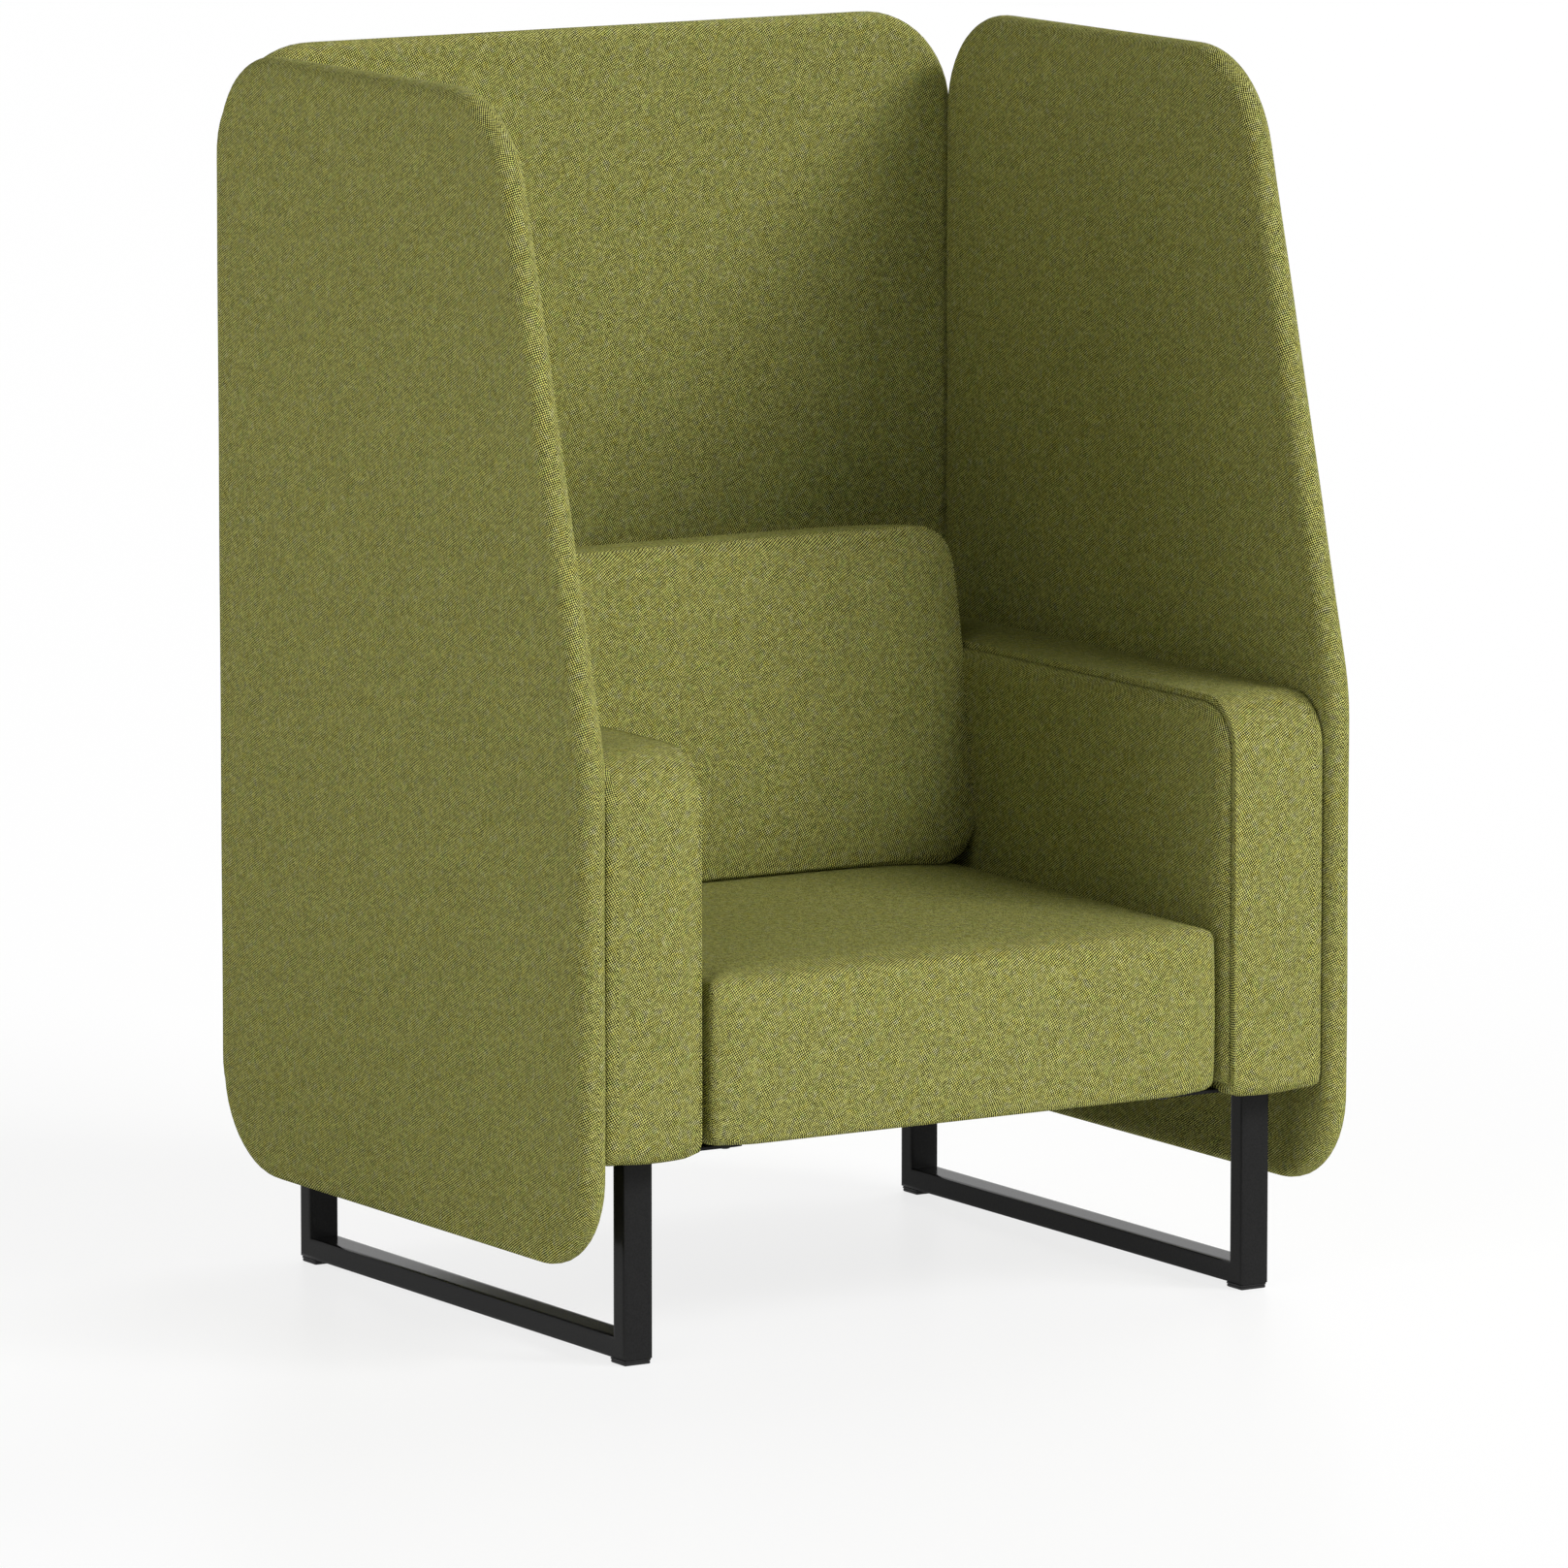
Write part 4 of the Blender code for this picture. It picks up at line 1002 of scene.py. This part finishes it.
# %% [markdown]
# ## Bolts under the plates
# The bolts that hold the plates are blackened button heads with a hexagon socket. A bolt is a turned
# profile, so it is a stack of rings round its axis. In the socket the ring's radius follows a hexagon: the
# distance to a flat side grows as 1 / cos(angle from the middle of that side).

# %% Bolts
BOLT_HEAD = 0.0045
BOLT_RIM = 0.0016
BOLT_SHANK_RADIUS = 0.0040
BOLT_HEAD_RADIUS = 0.0070
BOLT_CROWN_RADIUS = 0.0044
SOCKET_HALF = 0.0025
SOCKET_DEPTH = 0.0028
SOCKET_EDGE = 0.00025
BOLT_STEPS = 48


def bolt(label, end, held):
    """A button-head bolt, head down: round rings from tip to crown, then hexagonal ones into the socket."""
    node = f"{label}_{end}_{held}_bolt"
    low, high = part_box(node)
    seat = low.z + BOLT_HEAD
    dome = np.linspace(0, math.pi / 2, EDGE_STEPS)
    dome_radius = BOLT_CROWN_RADIUS + (BOLT_HEAD_RADIUS - BOLT_CROWN_RADIUS) * np.cos(dome)
    dome_depth = seat - BOLT_RIM - (BOLT_HEAD - BOLT_RIM) * np.sin(dome)
    shank = [(BOLT_SHANK_RADIUS - SOCKET_EDGE, high.z), (BOLT_SHANK_RADIUS, high.z - SOCKET_EDGE),
             (BOLT_SHANK_RADIUS, seat), (BOLT_HEAD_RADIUS - SOCKET_EDGE, seat),
             (BOLT_HEAD_RADIUS, seat - SOCKET_EDGE)]
    round_rows = np.concatenate([shank, np.stack([dome_radius, dome_depth], axis=1)])
    hex_rows = np.array([(SOCKET_HALF + SOCKET_EDGE, low.z), (SOCKET_HALF, low.z + SOCKET_EDGE),
                         (SOCKET_HALF, low.z + SOCKET_DEPTH)])
    turn = np.linspace(0, TURN, BOLT_STEPS, endpoint=False)
    hexagon = 1 / np.cos(np.mod(turn, math.pi / 3) - math.pi / 6)
    radius = np.concatenate([round_rows[:, :1] * np.ones_like(turn), hex_rows[:, :1] * hexagon])
    height = np.concatenate([round_rows[:, 1], hex_rows[:, 1]])[:, None] * np.ones_like(turn)
    centre = (low + high) / 2
    rings = np.stack([centre.x + radius * np.cos(turn), centre.y - radius * np.sin(turn), height], axis=2)
    points, quads = tube(rings)
    hard_piece(f"{label}_{end}_{held}_screw", points, quads, BLACK_OXIDE, (node,))


for label in SIDES:
    for end in ("front", "rear"):
        for held in ("arm", "seat"):
            bolt(label, end, held)

# %% [markdown]
# ## The dust cloth
# A thin black felt is stapled under the seat and hides the board and the cover's turned-in edges. It is cut
# to size and pulled tight, so it is one sheet that sags by a couple of millimetres, with a thickness from
# Solidify.

# %% Dust cloth
DUST_SAG = 0.0022
DUST_THICKNESS = 0.0006
DUST_CELLS = (40, 52)


def dust_cloth():
    """A sheet over u, v from -1 to 1: its height falls by the sag times (1 - u^2)(1 - v^2)."""
    low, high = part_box("seat_dust_cloth")
    u, v = np.meshgrid(*[np.linspace(-1, 1, cells + 1) for cells in DUST_CELLS], indexing="ij")
    half = (high - low) / 2
    centre = (high + low) / 2
    drop = DUST_SAG * (1 - u ** 2) * (1 - v ** 2)
    level = high.z - DUST_THICKNESS / 2
    points = np.stack([centre.x + half.x * u, centre.y + half.y * v, level - drop], axis=2)
    number = np.arange(u.size).reshape(u.shape)
    quads = grid_quads(number).reshape(-1, 4)
    obj = piece("dust_cloth", points.reshape(-1, 3), quads, None, FELT, ("seat_dust_cloth",))
    wall = obj.modifiers.new("thickness", "SOLIDIFY")
    wall.thickness = DUST_THICKNESS
    wall.offset = 0.0


dust_cloth()

# %% [markdown]
# ## The pieces that stay as they are
# The boards and the bolts inside the covers are never seen, so they keep the frame's plain shapes. Each
# frame piece gets the finish that its record names.

# %% Finishes of the frame
FINISHES = {"plywood": PLYWOOD, "zinc_bolts": ZINC, "black_steel": POWDER_COAT, "glide_nylon": NYLON,
            "dust_cloth": FELT, "upholstery": CLOTH}
slots = {entry["node"]: entry["material_slot"] for entry in frame["record"]["subparts"]}
for name, node in frame["nodes"].items():
    node.data.materials.clear()
    node.data.materials.append(FINISHES[slots[name]])
print("finished", len(slots), "frame nodes")

# %% [markdown]
# ## Floor and light
# The studio is white all round. Its floor gives off most of its white itself, so it stays bright and still
# shows the booth's shadow. Three soft lamps stand side by side at the front right, which makes the shadow
# of the right screen wide and soft. Broader lamps at the front, the left and the rear fill in. Their levels
# were worked out from the tones of the cloth in the photograph. Each lamp is a sun with a wide disc, so it
# lights near and far parts alike.

# %% Floor
FLOOR_SIZE = 90.0
FLOOR_GLOW = 0.80
FLOOR_ROUGHNESS = 0.35


def seen_directly(tree):
    """1 for a ray from the camera, also by way of a mirror or glass, and 0 for light that only spreads."""
    path = put(tree, "ShaderNodeLightPath")
    seen = path.outputs["Is Camera Ray"]
    for kind in ("Is Glossy Ray", "Is Transmission Ray"):
        either = put(tree, "ShaderNodeMath", [(0, seen), (1, path.outputs[kind])], operation="MAXIMUM")
        seen = either.outputs[0]
    return seen


def studio_floor():
    """A wide square of pale floor; part of its white is its own, so that shadows on it stay light."""
    material, tree, shader = blank_material("pale_floor")
    shader.inputs["Base Color"].default_value = paint("#FAFAFA")
    shader.inputs["Roughness"].default_value = FLOOR_ROUGHNESS
    share = put(tree, "ShaderNodeMath", [(0, seen_directly(tree)), (1, FLOOR_GLOW)], operation="MULTIPLY")
    glow = put(tree, "ShaderNodeEmission")
    mix = put(tree, "ShaderNodeMixShader",
              [(0, share.outputs[0]), (1, shader.outputs[0]), (2, glow.outputs[0])])
    tree.links.new(mix.outputs[0], tree.nodes["Material Output"].inputs["Surface"])
    mesh = bpy.data.meshes.new("floor")
    edge = np.array([(-1, -1, 0), (1, -1, 0), (1, 1, 0), (-1, 1, 0)]) * FLOOR_SIZE / 2
    mesh.from_pydata(edge.tolist(), [], [(0, 1, 2, 3)])
    mesh.materials.append(material)
    floor = bpy.data.objects.new("floor", mesh)
    bpy.context.scene.collection.objects.link(floor)


studio_floor()
print("floor", FLOOR_SIZE, "m wide")

# %% Lamps and world
WORLD_LEVEL = 0.02
# Each lamp: degrees from the front to the right, degrees up, how wide it looks, how brightly it lights a card
LAMPS = {
    "key_left": (20, 36, 18, 0.285),
    "key_middle": (36, 36, 18, 0.184),
    "key_right": (44, 36, 18, 0.356),
    "front_fill": (0, 12, 34, 0.118),
    "right_fill": (30, 12, 34, 0.131),
    "left_top": (-60, 36, 34, 0.161),
    "left_side": (-90, 12, 34, 0.270),
    "rear_right": (120, 36, 34, 0.415),
}


def softbox(name, azimuth, elevation, spread, level):
    """A very wide soft lamp far away: a sun whose disc is as wide as a studio softbox looks."""
    lamp = bpy.data.lights.new(name, "SUN")
    lamp.angle = math.radians(spread)
    lamp.energy = math.pi * level
    obj = bpy.data.objects.new(name, lamp)
    obj.rotation_euler = (math.radians(90 - elevation), 0.0, math.radians(azimuth))
    bpy.context.scene.collection.objects.link(obj)


for name, settings in LAMPS.items():
    softbox(name, *settings)

world = bpy.data.worlds.new("studio")
world.use_nodes = True
tree = world.node_tree
around = tree.nodes["Background"]
around.inputs["Color"].default_value = (1.0, 1.0, 1.0, 1.0)
around.inputs["Strength"].default_value = WORLD_LEVEL
white = put(tree, "ShaderNodeBackground", [("Color", (1.0, 1.0, 1.0, 1.0)), ("Strength", 1.0)])
mix = put(tree, "ShaderNodeMixShader",
          [(0, seen_directly(tree)), (1, around.outputs[0]), (2, white.outputs[0])])
tree.links.new(mix.outputs[0], tree.nodes["World Output"].inputs["Surface"])
bpy.context.scene.world = world
bpy.context.scene.view_settings.view_transform = "Standard"
print("lamps", len(LAMPS))

# %% [markdown]
# ## Last update
# At the end the view layer is updated, so that every piece stands where it was placed.

# %% Update
bpy.context.view_layer.update()
